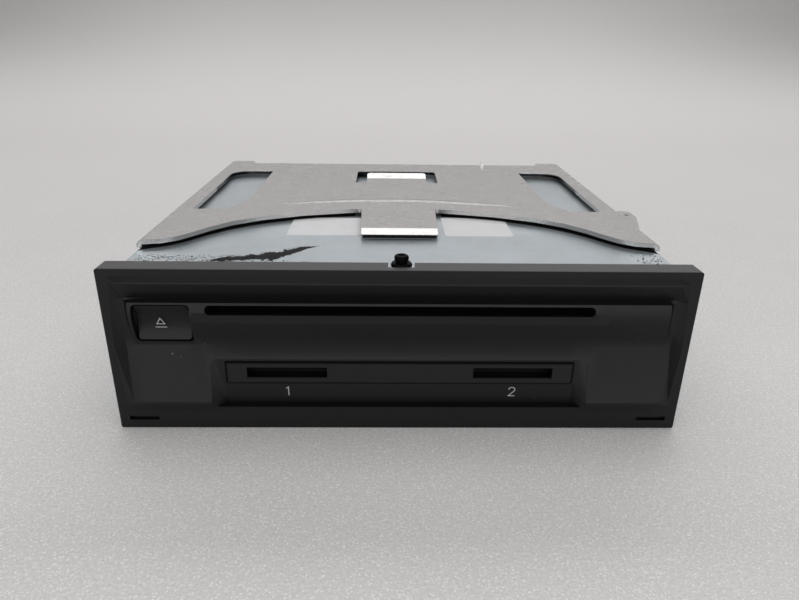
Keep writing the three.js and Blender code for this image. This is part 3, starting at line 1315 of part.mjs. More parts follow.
function buildFeed() {
  const train = feedTrain();
  const { rollerAt, idlerAt, wheelAt, motorAt, rollerTurn, idlerTurn, pinionTurn, motorTurn } = train;
  const [rollerY, rollerZ] = rollerAt;
  const { inner, outer } = gearPlanes;

  const axle = bar(roller.shaft, "x", [-ear.x - clearance, inner[1] + clearance]);
  const shaft = piece(deckGroup, "roller_shaft", axle, "steel");
  shaft.position.set(0, rollerY, rollerZ);
  for (const side of mirrored) {
    const near = roller.gap / 2;
    const sleeve = turned([
      [0, near],
      [roller.waist, near],
      [roller.radius, near + roller.length],
      [0, near + roller.length],
    ]);
    const bore = bar(roller.shaft + clearance, "z", [near - overrun, near + roller.length + overrun]);
    const name = `roller_sleeve_${side > 0 ? "right" : "left"}`;
    const made = piece(deckGroup, name, cut(sleeve, bore), "rubber");
    made.position.set(0, rollerY, rollerZ);
    made.rotation.y = (side * Math.PI) / 2;

    const barrel = ear.sheet + 2 * clearance;
    const ring = turned([
      [0, -barrel],
      [roller.bush, -barrel],
      [roller.bush, 0],
      [roller.bush + ear.sheet / 2, 0],
      [roller.bush + ear.sheet / 2, ear.sheet / 2],
      [0, ear.sheet / 2],
    ], fewSteps);
    const hole = bar(roller.shaft + running, "z", [-barrel - overrun, ear.sheet + overrun]);
    const bush = piece(deckGroup, `roller_bush_${side > 0 ? "right" : "left"}`, cut(ring, hole), "brass");
    bush.position.set(side * (ear.x - ear.sheet - clearance), rollerY, rollerZ);
    bush.rotation.y = (-side * Math.PI) / 2;
  }

  const onAxle = (radius, range) => bar(radius, "x", [range[0] - overrun, range[1] + overrun]);
  const rollerGear = cut(gearSolid(teeth.roller, rollerTurn, inner), onAxle(roller.shaft + clearance, inner));
  const idler = cut(gearSolid(teeth.idler, idlerTurn, inner), onAxle(gear.stud + running, inner));
  const double = cut(
    join(gearSolid(teeth.pinion, pinionTurn, [inner[0], outer[0] + clearance]), gearSolid(teeth.wheel, 0, outer)),
    onAxle(gear.stud + running, [inner[0], outer[1]]),
  );
  const pinion = join(
    gearSolid(teeth.motor, motorTurn, outer),
    bar(feedMotor.shaft, "x", [ear.x - ear.sheet - feedMotor.shaftIn, outer[1]]),
  );
  const gears = {
    roller_gear: [rollerGear, rollerAt],
    idler_gear: [idler, idlerAt],
    double_gear: [double, wheelAt],
    motor_pinion: [pinion, motorAt],
  };
  for (const [name, [shape, [y, z]]] of Object.entries(gears)) {
    const made = piece(deckGroup, name, shape, name === "motor_pinion" ? "brass" : "white");
    made.position.set(0, y, z);
  }

  const face = ear.x - ear.sheet - clearance;
  const { width, height, length, shaft: thin, shaftIn } = feedMotor;
  const body = rounded(around(motorAt[0], width), around(motorAt[1], height), height / 3);
  const can = extruded(body, "x", [face - length, face]);
  const bore = bar(thin + running, "x", [face - shaftIn - overrun, face + overrun], ...motorAt);
  piece(deckGroup, "feed_motor", cut(can, bore), "steel");
}

function buildGuide() {
  const { width, front: y0, rear: y1, sheet, leg, legWidth } = guide;
  const half = width / 2;
  const low = guide.level;
  const plate = extruded(rounded([-half, half], [y0, y1], sheet), "z", [low, low + sheet]);
  const legs = mirrored.map((side) => {
    const across = rising([side * (half - leg), side * half]);
    return block(across, [y1 - legWidth, y1 - sheet], [clearance, low + sheet / 2]);
  });
  const posts = mirrored.map((side) =>
    bar(feeler.post, "z", [low, low + sheet + clearance + feeler.sheet + clearance], side * feeler.x, feeler.y),
  );
  const corners = mirrored.map((side) => {
    const across = rising([side * (feeler.x + feeler.post + sheet), side * (half + overrun)]);
    return block(across, [y0 - overrun, feeler.y - sheet], [low - overrun, low + sheet + overrun]);
  });
  piece(deckGroup, "disc_guide", join(cut(plate, ...corners), ...legs, ...posts), "black");

  for (const side of mirrored) {
    const tilt = radians(feeler.angle);
    const radius = feeler.width / 2;
    const base = new THREE.Shape();
    base.absarc(0, 0, radius, Math.PI / 2, Math.PI * 1.5);
    base.absarc(feeler.arm, 0, radius, -Math.PI / 2, Math.PI / 2);
    const lever = extruded(base, "z", [0, feeler.sheet]);
    const pin = bar(feeler.pin, "z", [-feeler.pinLength, feeler.sheet / 2], feeler.arm, 0, fewSteps);
    const bore = bar(feeler.post + running, "z", [-overrun, feeler.sheet + overrun]);
    const name = `disc_feeler_${side > 0 ? "right" : "left"}`;
    const made = piece(deckGroup, name, cut(join(lever, pin), bore), "white");
    made.position.set(side * feeler.x, feeler.y, low + sheet + clearance);
    made.rotation.z = side > 0 ? tilt : Math.PI - tilt;
  }
}

function buildCam() {
  const { front: y0, rear: y1, foot, middle, top, slot, travel, studs, finger, fingerWidth } = cam;
  const high = arm.level - clearance;
  const flat = finger + fingerWidth / 2 - cam.hold;
  const side = new THREE.Shape();
  side.moveTo(y0, foot);
  side.lineTo(y1, foot);
  side.lineTo(y1, high);
  side.lineTo(flat, high);
  side.lineTo(flat - cam.rampRun, high - cam.rampFall);
  side.lineTo(flat - cam.rampRun - travel, top);
  side.lineTo(y0, top);
  const plate = extruded(side, "x", [-cam.outer, -ear.x - clearance]);
  const slots = studs.map((y) => {
    const length = [y - travel - slot / 2, y + slot / 2];
    const round = (slot - running) / 2;
    return extruded(rounded(length, around(middle, slot), round), "x", [-cam.outer - overrun, -ear.x]);
  });
  piece(deckGroup, "cam_slider", cut(plate, ...slots), "white");
}

buildBezel();
buildButton();
buildStrip();
buildFelts();
buildChassis();
buildCover();
buildBracket();
buildScrews();
buildDampers();
buildBoards();
buildRear();
buildDeck();
buildSpindle();
buildPickup();
buildClamp();
buildFeed();
buildGuide();
buildCam();

export default drive;
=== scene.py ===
import json
from math import cos, pi, radians, sin

import bmesh
import bpy
from mathutils import Matrix, Vector
from mathutils.bvhtree import BVHTree

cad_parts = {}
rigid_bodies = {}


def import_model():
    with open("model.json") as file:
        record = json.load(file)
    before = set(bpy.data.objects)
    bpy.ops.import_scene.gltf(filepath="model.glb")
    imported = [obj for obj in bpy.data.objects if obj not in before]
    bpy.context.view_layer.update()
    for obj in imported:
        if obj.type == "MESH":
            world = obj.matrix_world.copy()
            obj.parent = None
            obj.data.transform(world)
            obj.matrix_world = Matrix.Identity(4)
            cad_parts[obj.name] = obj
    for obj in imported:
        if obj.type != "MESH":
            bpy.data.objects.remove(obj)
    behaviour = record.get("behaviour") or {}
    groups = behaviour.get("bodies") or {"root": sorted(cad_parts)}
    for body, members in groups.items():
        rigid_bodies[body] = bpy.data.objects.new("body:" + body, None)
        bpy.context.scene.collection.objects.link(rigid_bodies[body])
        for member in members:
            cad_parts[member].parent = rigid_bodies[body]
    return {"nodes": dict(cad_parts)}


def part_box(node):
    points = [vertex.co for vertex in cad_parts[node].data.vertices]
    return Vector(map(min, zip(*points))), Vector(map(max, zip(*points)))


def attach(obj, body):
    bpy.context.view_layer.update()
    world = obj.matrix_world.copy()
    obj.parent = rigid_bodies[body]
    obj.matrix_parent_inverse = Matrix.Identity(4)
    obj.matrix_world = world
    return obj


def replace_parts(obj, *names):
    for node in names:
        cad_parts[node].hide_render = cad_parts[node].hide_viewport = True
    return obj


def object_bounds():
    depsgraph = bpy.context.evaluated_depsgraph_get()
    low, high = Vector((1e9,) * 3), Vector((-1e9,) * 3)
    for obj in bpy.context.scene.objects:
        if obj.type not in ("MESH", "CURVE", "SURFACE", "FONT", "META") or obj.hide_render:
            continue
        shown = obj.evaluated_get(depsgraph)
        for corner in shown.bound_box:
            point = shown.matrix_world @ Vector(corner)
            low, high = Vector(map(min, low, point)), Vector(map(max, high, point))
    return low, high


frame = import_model()
cad_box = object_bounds()

# Chassis tray: a folded box of galvanised sheet, open at the top, with cooling slots in its walls
# and four bosses drawn up from its floor. Its zinc has a faint cloudy spangle, and its front carries
# painted shade round the two card sockets, so that no lit metal shows through their slots.
MM = 0.001
CASING = "casing"


def colour(red, green, blue):
    """A screen colour from 0 to 255 as the shader's own numbers."""
    levels = [value / 255 for value in (red, green, blue)]
    return tuple(v / 12.92 if v < 0.04045 else ((v + 0.055) / 1.055) ** 2.4 for v in levels) + (1,)


class Wire:
    """A node's output that sums can be written on."""

    def __init__(self, sheet, socket):
        self.sheet, self.socket = sheet, socket

    def math(self, operation, *values):
        """One step of arithmetic, as a node."""
        inputs = dict(enumerate(values))
        return self.sheet.node("ShaderNodeMath", {"operation": operation}, inputs)

    def __add__(self, other):
        return self.math("ADD", self, other)

    def __sub__(self, other):
        return self.math("SUBTRACT", self, other)

    def __rsub__(self, other):
        return self.math("SUBTRACT", other, self)

    def __mul__(self, other):
        return self.math("MULTIPLY", self, other)

    def __truediv__(self, other):
        return self.math("DIVIDE", self, other)

    __radd__, __rmul__ = __add__, __mul__

    def least(self, other):
        return self.math("MINIMUM", self, other)

    def most(self, other):
        return self.math("MAXIMUM", self, other)

    def size(self):
        return self.math("ABSOLUTE", self)

    def root(self):
        return self.math("SQRT", self)

    def power(self, exponent):
        return self.math("POWER", self, exponent)

    def step(self, low, high):
        """0 below low, 1 above high, and a smooth rise between them."""
        settings = {"interpolation_type": "SMOOTHSTEP"}
        ends = {"Value": self, "From Min": low, "From Max": high}
        return self.sheet.node("ShaderNodeMapRange", settings, ends)

    def below(self, high, soft):
        """1 below high, 0 above it, and a smooth fall over the last soft part."""
        return 1 - self.step(high - soft, high)


class NodeSheet:
    """A node tree that is filled one node at a time."""

    def node(self, kind, settings, inputs, output=0):
        made = self.tree.nodes.new(kind)
        for name, value in settings.items():
            setattr(made, name, value)
        for key, value in inputs.items():
            if isinstance(value, Wire):
                self.tree.links.new(value.socket, made.inputs[key])
            else:
                made.inputs[key].default_value = value
        return Wire(self, made.outputs[output])


class Finish(NodeSheet):
    """A surface finish: one material, its Principled shader and the nodes that vary it."""

    def __init__(self, name, base, **constants):
        """A plain base colour and the shader's constants, named in small letters."""
        self.material = bpy.data.materials.new(name)
        self.material.use_nodes = True
        self.tree = self.material.node_tree
        self.shader = self.tree.nodes["Principled BSDF"]
        self.shader.inputs["Base Color"].default_value = base
        for constant, value in constants.items():
            socket = constant.replace("_", " ").title().replace("Ior", "IOR")
            self.shader.inputs[socket].default_value = value
        where = self.node("ShaderNodeTexCoord", {}, {}, "Object")
        self.place = self.node("ShaderNodeVectorMath", {"operation": "SCALE"}, {0: where, "Scale": 1 / MM})
        self.x, self.y, self.z = (
            self.node("ShaderNodeSeparateXYZ", {}, {0: self.place}, axis) for axis in "XYZ"
        )

    def noise(self, grain, detail, stretch=(1, 1, 1), rough=0.5):
        """Cloudy noise from 0 to 1 with lumps of about grain millimetres."""
        at = self.node("ShaderNodeMapping", {}, {"Vector": self.place, "Scale": stretch})
        inputs = {"Vector": at, "Scale": 1 / grain, "Detail": detail, "Roughness": rough}
        return self.node("ShaderNodeTexNoise", {}, inputs)

    def cells(self, grain, stretch=(1, 1, 1), feature="F1", output="Distance"):
        """Cells of about grain millimetres: a distance inside each one, or its own colour."""
        at = self.node("ShaderNodeMapping", {}, {"Vector": self.place, "Scale": stretch})
        inputs = {"Vector": at, "Scale": 1 / grain}
        return self.node("ShaderNodeTexVoronoi", {"feature": feature}, inputs, output)

    def blend(self, share, first, second):
        """The first colour where share is 0 and the second where it is 1."""
        inputs = {0: share, 6: first, 7: second}
        return self.node("ShaderNodeMix", {"data_type": "RGBA"}, inputs, 2)

    def set(self, socket, value):
        """Drives one of the shader's sockets by a wire."""
        self.tree.links.new(value.socket, self.shader.inputs[socket])

    def bump(self, height):
        """Relief whose height is given in millimetres."""
        inputs = {"Height": height, "Distance": MM, "Strength": 1.0}
        self.set("Normal", self.node("ShaderNodeBump", {}, inputs))


def zinc(name, bright, dull, grain, grey):
    """Zinc-coated sheet: cloudy spangle, faint rolling lines and a scatter of duller marks.

    The spangle's grain is in millimetres, and grey is how rough the sheet is on the whole.
    """
    finish = Finish(name, bright, metallic=0.8)
    spangle = finish.cells(grain, output="Color")
    facet = finish.node("ShaderNodeSeparateColor", {}, {0: spangle})
    cloud = finish.noise(5 * grain, 4)
    lines = finish.noise(0.5, 3, stretch=(0.04, 1, 1))
    worn = finish.noise(1.6, 6, rough=0.7).step(0.62, 0.8)
    shade = (facet * 0.35 + cloud * 0.65).step(0.15, 0.85)
    finish.colour_wire = finish.blend(shade * 0.8 + worn * 0.2, dull, bright)
    finish.roughness_wire = 0.1 * lines + 0.14 * cloud + 0.1 * worn + (grey - 0.12)
    finish.set("Base Color", finish.colour_wire)
    finish.set("Roughness", finish.roughness_wire)
    finish.bump(0.0015 * lines + 0.001 * finish.noise(0.35, 2))
    return finish


chassis_zinc = zinc("galvanised_sheet", colour(196, 204, 209), colour(176, 184, 190), 2.6, 0.34)
# Painted shade: round the card sockets the front is coloured near black and made non-metallic.
SOCKET_SHADE_IN, SOCKET_SHADE_OUT, SOCKET_SHADE_TOP, SOCKET_SHADE_BACK = 10, 54, 25, -80
from_middle = chassis_zinc.x.size()
socket_shade_painted = from_middle.step(SOCKET_SHADE_IN, SOCKET_SHADE_IN + 0.5) * from_middle.below(SOCKET_SHADE_OUT, 0.5)
socket_shade_painted = socket_shade_painted * chassis_zinc.y.below(SOCKET_SHADE_BACK, 0.5) * chassis_zinc.z.below(SOCKET_SHADE_TOP, 0.5)
chassis_zinc.set("Base Color", chassis_zinc.blend(socket_shade_painted, chassis_zinc.colour_wire, colour(8, 8, 9)))
chassis_zinc.set("Metallic", 0.8 - 0.8 * socket_shade_painted)


def coat(finish, *names):
    """Gives CAD nodes their finish."""
    for name in names:
        slots = frame["nodes"][name].data.materials
        slots.clear()
        slots.append(finish.material)


def mesh_of(name, shape):
    """A bmesh shape as a plain mesh. The shape can't be used any more."""
    mesh = bpy.data.meshes.new(name)
    shape.to_mesh(mesh)
    shape.free()
    return mesh


def linked(name, data):
    """A new object in the scene, at the origin."""
    made = bpy.data.objects.new(name, data)
    bpy.context.scene.collection.objects.link(made)
    return made


def as_piece(name, mesh, body, finish):
    """A finished mesh as a piece that rides on its body."""
    mesh.materials.clear()
    mesh.materials.append(finish.material)
    piece = linked(name, mesh)
    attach(piece, body)
    return piece


def smooth(mesh, angle):
    """Shades a mesh as round, apart from its edges sharper than an angle in degrees."""
    mesh.shade_smooth()
    mesh.set_sharp_from_angle(angle=radians(angle))


def applied(piece):
    """The mesh that a piece's modifiers give."""
    view = bpy.context.evaluated_depsgraph_get()
    return bpy.data.meshes.new_from_object(piece.evaluated_get(view), depsgraph=view)


SAME_PLACE = MM / 200
FLAT, ROUNDED_FROM, SMOOTH_TO = 0.4, 35, 30  # degrees between faces


def worked(name, node, body, finish, edge, creases=(), cuts=(), eased=None):
    """A CAD node's own shape with its flat faces made whole and its edges rounded by edge millimetres.

    Bends at the y values in creases stay sharp, faces are parted at the x values in cuts so that curved
    rows shade evenly, and eased moves a point of the shape, all in millimetres.
    """
    copy = bmesh.new()
    copy.from_mesh(frame["nodes"][node].data)
    bmesh.ops.remove_doubles(copy, verts=copy.verts, dist=SAME_PLACE)
    bmesh.ops.dissolve_limit(copy, angle_limit=radians(FLAT), verts=copy.verts, edges=copy.edges)
    for at in cuts:
        everything = list(copy.verts) + list(copy.edges) + list(copy.faces)
        plane = {"plane_co": (at * MM, 0, 0), "plane_no": (1, 0, 0)}
        bmesh.ops.bisect_plane(copy, geom=everything, dist=MM / 500, **plane)
    for point in copy.verts if eased else ():
        point.co = Vector(eased(*(point.co / MM))) * MM
    rough = linked(name + "_rough", mesh_of(name, copy))
    bevel = rough.modifiers.new("edges", "BEVEL")
    bevel.width = edge * MM
    bevel.segments = 2
    bevel.limit_method = "ANGLE"
    bevel.angle_limit = radians(ROUNDED_FROM)
    bevel.use_clamp_overlap = True
    rough.modifiers.new("flat faces", "WEIGHTED_NORMAL").keep_sharp = True
    smooth(rough.data, SMOOTH_TO)
    for line in rough.data.edges:
        ends = [rough.data.vertices[v].co.y / MM for v in line.vertices]
        if any(max(abs(end - crease) for end in ends) < 0.1 for crease in creases):
            line.use_edge_sharp = True
    done = applied(rough)
    bpy.data.objects.remove(rough)
    piece = as_piece(name, done, body, finish)
    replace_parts(piece, node)


coat(chassis_zinc, "chassis_tray")

# Dampers: four black rubber cups filled with grease, on shelves folded in from the chassis tray's
# walls. The floating deck's pins stand in them, so that jolts from the road don't reach the disc.
rubber = Finish("rubber", colour(30, 30, 31), roughness=0.75)
rubber.set("Base Color", rubber.blend(rubber.noise(2.2, 4), colour(24, 24, 25), colour(42, 42, 43)))
rubber.bump(0.02 * rubber.noise(0.4, 3))
for end in ("front", "rear"):
    for side in ("left", "right"):
        coat(rubber, f"damper_{end}_{side}")

# Floating deck: a pressed steel plate with the walls, ears and studs that carry the disc feed, the
# spindle motor and the pick-up. Its zinc is a little whiter than the casing's.
deck_zinc = zinc("deck_sheet", colour(206, 209, 211), colour(188, 193, 197), 1.8, 0.36)
coat(deck_zinc, "deck_frame")

# Turned and drawn steel: rods, shafts, the lead screw and the screws' heads, with fine turning
# lines round their length.
steel = Finish("bright_steel", colour(188, 190, 192), metallic=1.0)
turning = steel.noise(0.3, 3, stretch=(0.3, 1, 0.3))
steel.set("Base Color", steel.blend(steel.noise(1.5, 4), colour(170, 172, 175), colour(200, 202, 204)))
steel.set("Roughness", 0.22 + 0.16 * turning)
steel.bump(0.004 * turning)
coat(steel, "guide_rod_main", "guide_rod_sub", "roller_shaft")

# Lead screw: a steel rod with a thread rolled into it from end to end. The sled motor turns it, and
# a half nut on the pick-up follows its thread.


class Recipe(NodeSheet):
    """A geometry tree with named sizes, which gives one plain mesh."""

    def __init__(self, name, **sizes):
        self.tree = bpy.data.node_groups.new(name, "GeometryNodeTree")
        self.sizes, self.ids = sizes, {}
        sockets = self.tree.interface
        sockets.new_socket("Geometry", in_out="INPUT", socket_type="NodeSocketGeometry")
        for size, value in sizes.items():
            kind = "NodeSocketInt" if isinstance(value, int) else "NodeSocketFloat"
            self.ids[size] = sockets.new_socket(size, in_out="INPUT", socket_type=kind).identifier
        sockets.new_socket("Geometry", in_out="OUTPUT", socket_type="NodeSocketGeometry")
        given = self.tree.nodes.new("NodeGroupInput")
        self.start = Wire(self, given.outputs["Geometry"])
        self.size = {size: Wire(self, given.outputs[size]) for size in sizes}

    def place(self, x=0.0, y=0.0, z=0.0):
        """A point or an offset, any of whose sizes may be a wire."""
        return self.node("ShaderNodeCombineXYZ", {}, {"X": x, "Y": y, "Z": z})

    def bar(self, line, profile, **more):
        """A solid bar along a line, with a closed profile."""
        inputs = {"Curve": line, "Profile Curve": profile, "Fill Caps": True, **more}
        return self.node("GeometryNodeCurveToMesh", {}, inputs)

    def copies(self, points, piece, **more):
        """A copy of a piece at every point."""
        inputs = {"Points": points, "Instance": piece, **more}
        return self.node("GeometryNodeInstanceOnPoints", {}, inputs)

    def join(self, *shapes):
        """Several shapes as one."""
        made = self.tree.nodes.new("GeometryNodeJoinGeometry")
        for shape in shapes:
            self.tree.links.new(shape.socket, made.inputs[0])
        return Wire(self, made.outputs[0])

    def made(self, shape, finish, mesh):
        """Ends the tree with a shape and runs it once on a mesh."""
        real = self.node("GeometryNodeRealizeInstances", {}, {0: shape})
        done = self.node("GeometryNodeSetMaterial", {}, {"Geometry": real, "Material": finish.material})
        end = self.tree.nodes.new("NodeGroupOutput")
        self.tree.links.new(done.socket, end.inputs["Geometry"])
        rough = linked(self.tree.name, mesh)
        modifier = rough.modifiers.new("recipe", "NODES")
        modifier.node_group = self.tree
        for size, value in self.sizes.items():
            modifier[self.ids[size]] = value
        plain = applied(rough)
        bpy.data.objects.remove(rough)
        return plain


screw_low, screw_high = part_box("lead_screw")
screw_run = screw_high.y - screw_low.y
SCREW_CORE, SCREW_RIDGE, SCREW_PITCH = 0.95 * MM, 0.25 * MM, 1.6 * MM
thread = Recipe("thread", core=SCREW_CORE, ridge=SCREW_RIDGE, run=screw_run, turns=screw_run / SCREW_PITCH)
helix = thread.node(
    "GeometryNodeCurveSpiral",
    {},
    {
        "Resolution": 16,
        "Rotations": thread.size["turns"],
        "Start Radius": thread.size["core"],
        "End Radius": thread.size["core"],
        "Height": thread.size["run"],
    },
)
axis = thread.node("GeometryNodeCurvePrimitiveLine", {}, {"End": thread.place(z=thread.size["run"])})
strands = []
for line, radius, sides in ((helix, "ridge", 6), (axis, "core", 24)):
    ring = {"Resolution": sides, "Radius": thread.size[radius]}
    section = thread.node("GeometryNodeCurvePrimitiveCircle", {}, ring)
    strands.append(thread.bar(line, section))
screw_middle = (screw_low + screw_high) / 2
laid = thread.node(
    "GeometryNodeTransform",
    {},
    {
        "Geometry": thread.join(*strands),
        "Translation": (screw_middle.x, screw_low.y, screw_middle.z),
        "Rotation": (-pi / 2, 0, 0),
    },
)
thread_mesh = thread.made(laid, steel, bpy.data.meshes.new("thread"))
smooth(thread_mesh, 50)
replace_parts(as_piece("lead_screw_thread", thread_mesh, "lead_screw", steel), "lead_screw")

# Motors: drawn steel cans with a matt plated finish. One turns the disc, one the lead screw and one
# the gears that draw the disc in.
can = Finish("motor_can", colour(150, 152, 156), metallic=0.9)
can.set("Base Color", can.blend(can.noise(3, 3), colour(132, 134, 138), colour(160, 162, 166)))
can.set("Roughness", 0.32 + 0.14 * can.noise(0.6, 3))
coat(can, "spindle_motor", "sled_motor", "feed_motor")

# White and black plastics inside: gears, sliders, feelers and a connector moulded in white, and the
# clamp's disc, the disc guide, the turntable and another connector moulded in black.
white = Finish("white_plastic", colour(226, 224, 216), roughness=0.45)
white.set("Base Color", white.blend(white.noise(4, 3), colour(218, 215, 206), colour(232, 230, 223)))
white.bump(0.006 * white.noise(0.3, 2))
coat(white, "idler_gear", "double_gear", "roller_gear", "cam_slider")
coat(white, "disc_feeler_left", "disc_feeler_right", "side_connector", "card_slider_1", "card_slider_2")
black = Finish("black_plastic", colour(34, 34, 35))
black.set("Base Color", black.blend(black.noise(6, 4), colour(30, 30, 31), colour(42, 42, 43)))
black.set("Roughness", 0.42 + 0.16 * black.noise(0.8, 4))
black.bump(0.012 * black.noise(0.35, 3))
coat(black, "clamper", "disc_guide", "turntable", "main_connector")

# Brass: the pinion pressed on the feed motor's shaft, and the two bushes in which the roller shaft
# turns. All three are turned from bar.
brass = Finish("brass", colour(200, 168, 96), metallic=1.0)
brass.set("Base Color", brass.blend(brass.noise(1.2, 4), colour(178, 146, 78), colour(212, 184, 112)))
brass.set("Roughness", 0.25 + 0.2 * brass.noise(0.4, 3))
coat(brass, "motor_pinion", "roller_bush_left", "roller_bush_right")

# Roller sleeves: soft rubber, ground to a taper towards the middle and pushed on the roller shaft, so
# that they grip a disc only near its rim.
coat(rubber, "roller_sleeve_left", "roller_sleeve_right")

# Pick-up sled: a magnesium die casting that slides on two rods. The lens in its turret is coated
# glass, which looks faintly blue.
casting = Finish("die_casting", colour(150, 152, 152), metallic=0.6)
cast_grey, worn_grey = colour(128, 130, 131), colour(164, 166, 166)
casting.set("Base Color", casting.blend(casting.noise(1.4, 5), cast_grey, worn_grey))
casting.set("Roughness", 0.45 + 0.2 * casting.noise(0.5, 4))
casting.bump(0.03 * casting.noise(0.5, 4))
coat(casting, "pickup_sled")
lens = Finish("lens", colour(70, 92, 130), roughness=0.08, coat_weight=0.6)
lens.set("Base Color", lens.blend(lens.noise(1.5, 2), colour(60, 76, 128), colour(86, 112, 138)))
coat(lens, "objective_lens")

# Boards: glass fibre sheets with copper tracks under a green solder mask. Each board is one body with
# the chips and small parts on it.
mask = Finish("circuit_board", colour(31, 90, 56), roughness=0.35)
track = mask.cells(1.5, stretch=(1, 0.25, 1), feature="DISTANCE_TO_EDGE").step(0.05, 0.09)
mask.set("Base Color", mask.blend(track, colour(52, 120, 76), colour(26, 78, 48)))
mask.bump(-0.03 * track)
coat(mask, "main_board", "card_board", "button_board")

# Card sockets: two black moulded mouths, side by side on the card board, with drawn steel shells
# clipped over them.
MOUTH_TOP = 21.85
socket = Finish("card_socket", colour(188, 190, 192))
shell = socket.z.step(MOUTH_TOP - 0.1, MOUTH_TOP + 0.1)
shell_steel = socket.blend(socket.noise(1.5, 4), colour(172, 174, 177), colour(198, 200, 202))
socket.set("Base Color", socket.blend(shell, colour(9, 9, 10), shell_steel))
socket.set("Metallic", shell)
socket.set("Roughness", 0.5 - 0.16 * shell + 0.1 * socket.noise(0.5, 3, stretch=(1, 0.2, 1)))
coat(socket, "card_socket_1", "card_socket_2")

# Rear cooler: an aluminium block with upright fins, extruded, sawn to length and anodised black. It's
# fixed to the back of the casing and sheds the drive's heat.
anodised = Finish("anodised_black", colour(30, 31, 33), metallic=0.6)
anodised.set("Base Color", anodised.blend(anodised.noise(2.4, 4), colour(24, 25, 27), colour(46, 47, 50)))
anodised.set("Roughness", 0.4 + 0.18 * anodised.noise(0.5, 3, stretch=(1, 1, 0.05)))
cooler_low, cooler_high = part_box("rear_cooler")
FINS, FIN, BASE = 13, 1.2 * MM, 2.5 * MM
FIN_TOP, SLAB_DROP, INTO_FINS = 54.35 * MM, 1.0 * MM, 0.02
SIDE_STEPS, GROOVE, DRAFT = 16, 0.09 * MM, 0.14 * MM
fin_depth = cooler_high.y - cooler_low.y - BASE
half_fin = FIN / 2
side_line = []
for step in range(SIDE_STEPS + 1):
    share = step / SIDE_STEPS
    groove = GROOVE * (step % 2)
    side_line.append((half_fin - DRAFT * share - groove, share * fin_depth))
outline = [(-x, y) for x, y in side_line] + [(0, fin_depth)] + side_line[::-1]


def drawn_line(name, points, closed=False):
    """A mesh of edges from point to point, which a recipe takes as a curve."""
    line = bpy.data.meshes.new(name)
    count = len(points)
    ends = [(i, (i + 1) % count) for i in range(count if closed else count - 1)]
    line.from_pydata(points, ends, [])
    return line


pitch = (cooler_high.x - cooler_low.x - FIN) / (FINS - 1)
cooler = Recipe("cooler_fins", fins=FINS, pitch=pitch, run=FIN_TOP - cooler_low.z)
section = cooler.node("GeometryNodeMeshToCurve", {}, {0: cooler.start})
fin_line = cooler.node("GeometryNodeCurvePrimitiveLine", {}, {"End": cooler.place(z=cooler.size["run"])})
row_size = {"Count": cooler.size["fins"], "Offset": cooler.place(x=cooler.size["pitch"])}
row = cooler.node("GeometryNodeMeshLine", {}, row_size)
fins = cooler.copies(row, cooler.bar(fin_line, section))
fins_placed = cooler.node(
    "GeometryNodeTransform",
    {},
    {"Geometry": fins, "Translation": (cooler_low.x + half_fin, cooler_low.y + BASE, cooler_low.z)},
)
fin_outline = drawn_line("fin", [(x, y, 0) for x, y in outline], closed=True)
fin_mesh = cooler.made(fins_placed, anodised, fin_outline)
block = bmesh.new()
block.from_mesh(fin_mesh)
slab = [
    (cooler_low.x, cooler_low.z),
    (cooler_high.x, cooler_low.z),
    (cooler_high.x, cooler_high.z - SLAB_DROP),
    (cooler_low.x, cooler_high.z),
]
near = [block.verts.new((x, cooler_low.y, z)) for x, z in slab]
far = [block.verts.new((x, cooler_low.y + BASE * (1 + INTO_FINS), z)) for x, z in slab]
block.faces.new(near)
block.faces.new(far[::-1])
for i, j in ((0, 1), (1, 2), (2, 3), (3, 0)):
    block.faces.new((near[j], near[i], far[i], far[j]))
bmesh.ops.recalc_face_normals(block, faces=block.faces)
block.to_mesh(fin_mesh)
block.free()
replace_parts(as_piece("cooler_block", fin_mesh, CASING, anodised), "rear_cooler")

# Top cover: one galvanised sheet over the chassis, bent down at the sides and screwed at the rear.
# A smear of old foam glue and some dust lie near its front edge, and painted shade, near black, fills
# the narrow gap behind the bracket's front edge.
COVER_TOP = 54.0
cover_zinc = zinc("cover_sheet", colour(200, 209, 214), colour(192, 201, 206), 3.2, 0.32)


def along(x, height, *bends):
    """A line over x in straight runs: its height at first, then each bend's x and its new slope."""
    line, slope = height, 0
    for at, new_slope in bends:
        line = line + (new_slope - slope) * (x - at).most(0)
        slope = new_slope
    return line


def surface_of(node):
    """The surface of a CAD node, on which rays can be cast."""
    mesh = frame["nodes"][node].data
    return BVHTree.FromPolygons([v.co for v in mesh.vertices], [tuple(p.vertices) for p in mesh.polygons])


def bracket_edge(x):
    """The y of the bracket's front edge at x, found by rays that rise from just over the cover."""
    for y in range(-70, 0):
        start = Vector((x, y, COVER_TOP + 0.1)) * MM
        if bracket_surface.ray_cast(start, Vector((0, 0, 1)))[0]:
            return y
    return 0


bracket_surface = surface_of("mounting_bracket")
EDGE_X = (20, 26, 34, 42, 50, 58, 66, 72, 77, 81, 84)
edge_y = [bracket_edge(x) for x in EDGE_X]
edge_spans = zip(EDGE_X, EDGE_X[1:], edge_y, edge_y[1:])
edge_bends = [(x, (next_y - y) / (next_x - x)) for x, next_x, y, next_y in edge_spans]


def painted_gap_shade(finish):
    """How much painted shade fills the narrow gap just behind the bracket's front edge, from 0 to 1."""
    across = finish.x.size()
    behind = finish.y - along(across, edge_y[0], *edge_bends)
    beside_tab = across.step(17.2, 18.2) * across.below(91, 0.5)
    return behind.step(-0.8, 0.6) * behind.below(8, 2) * beside_tab


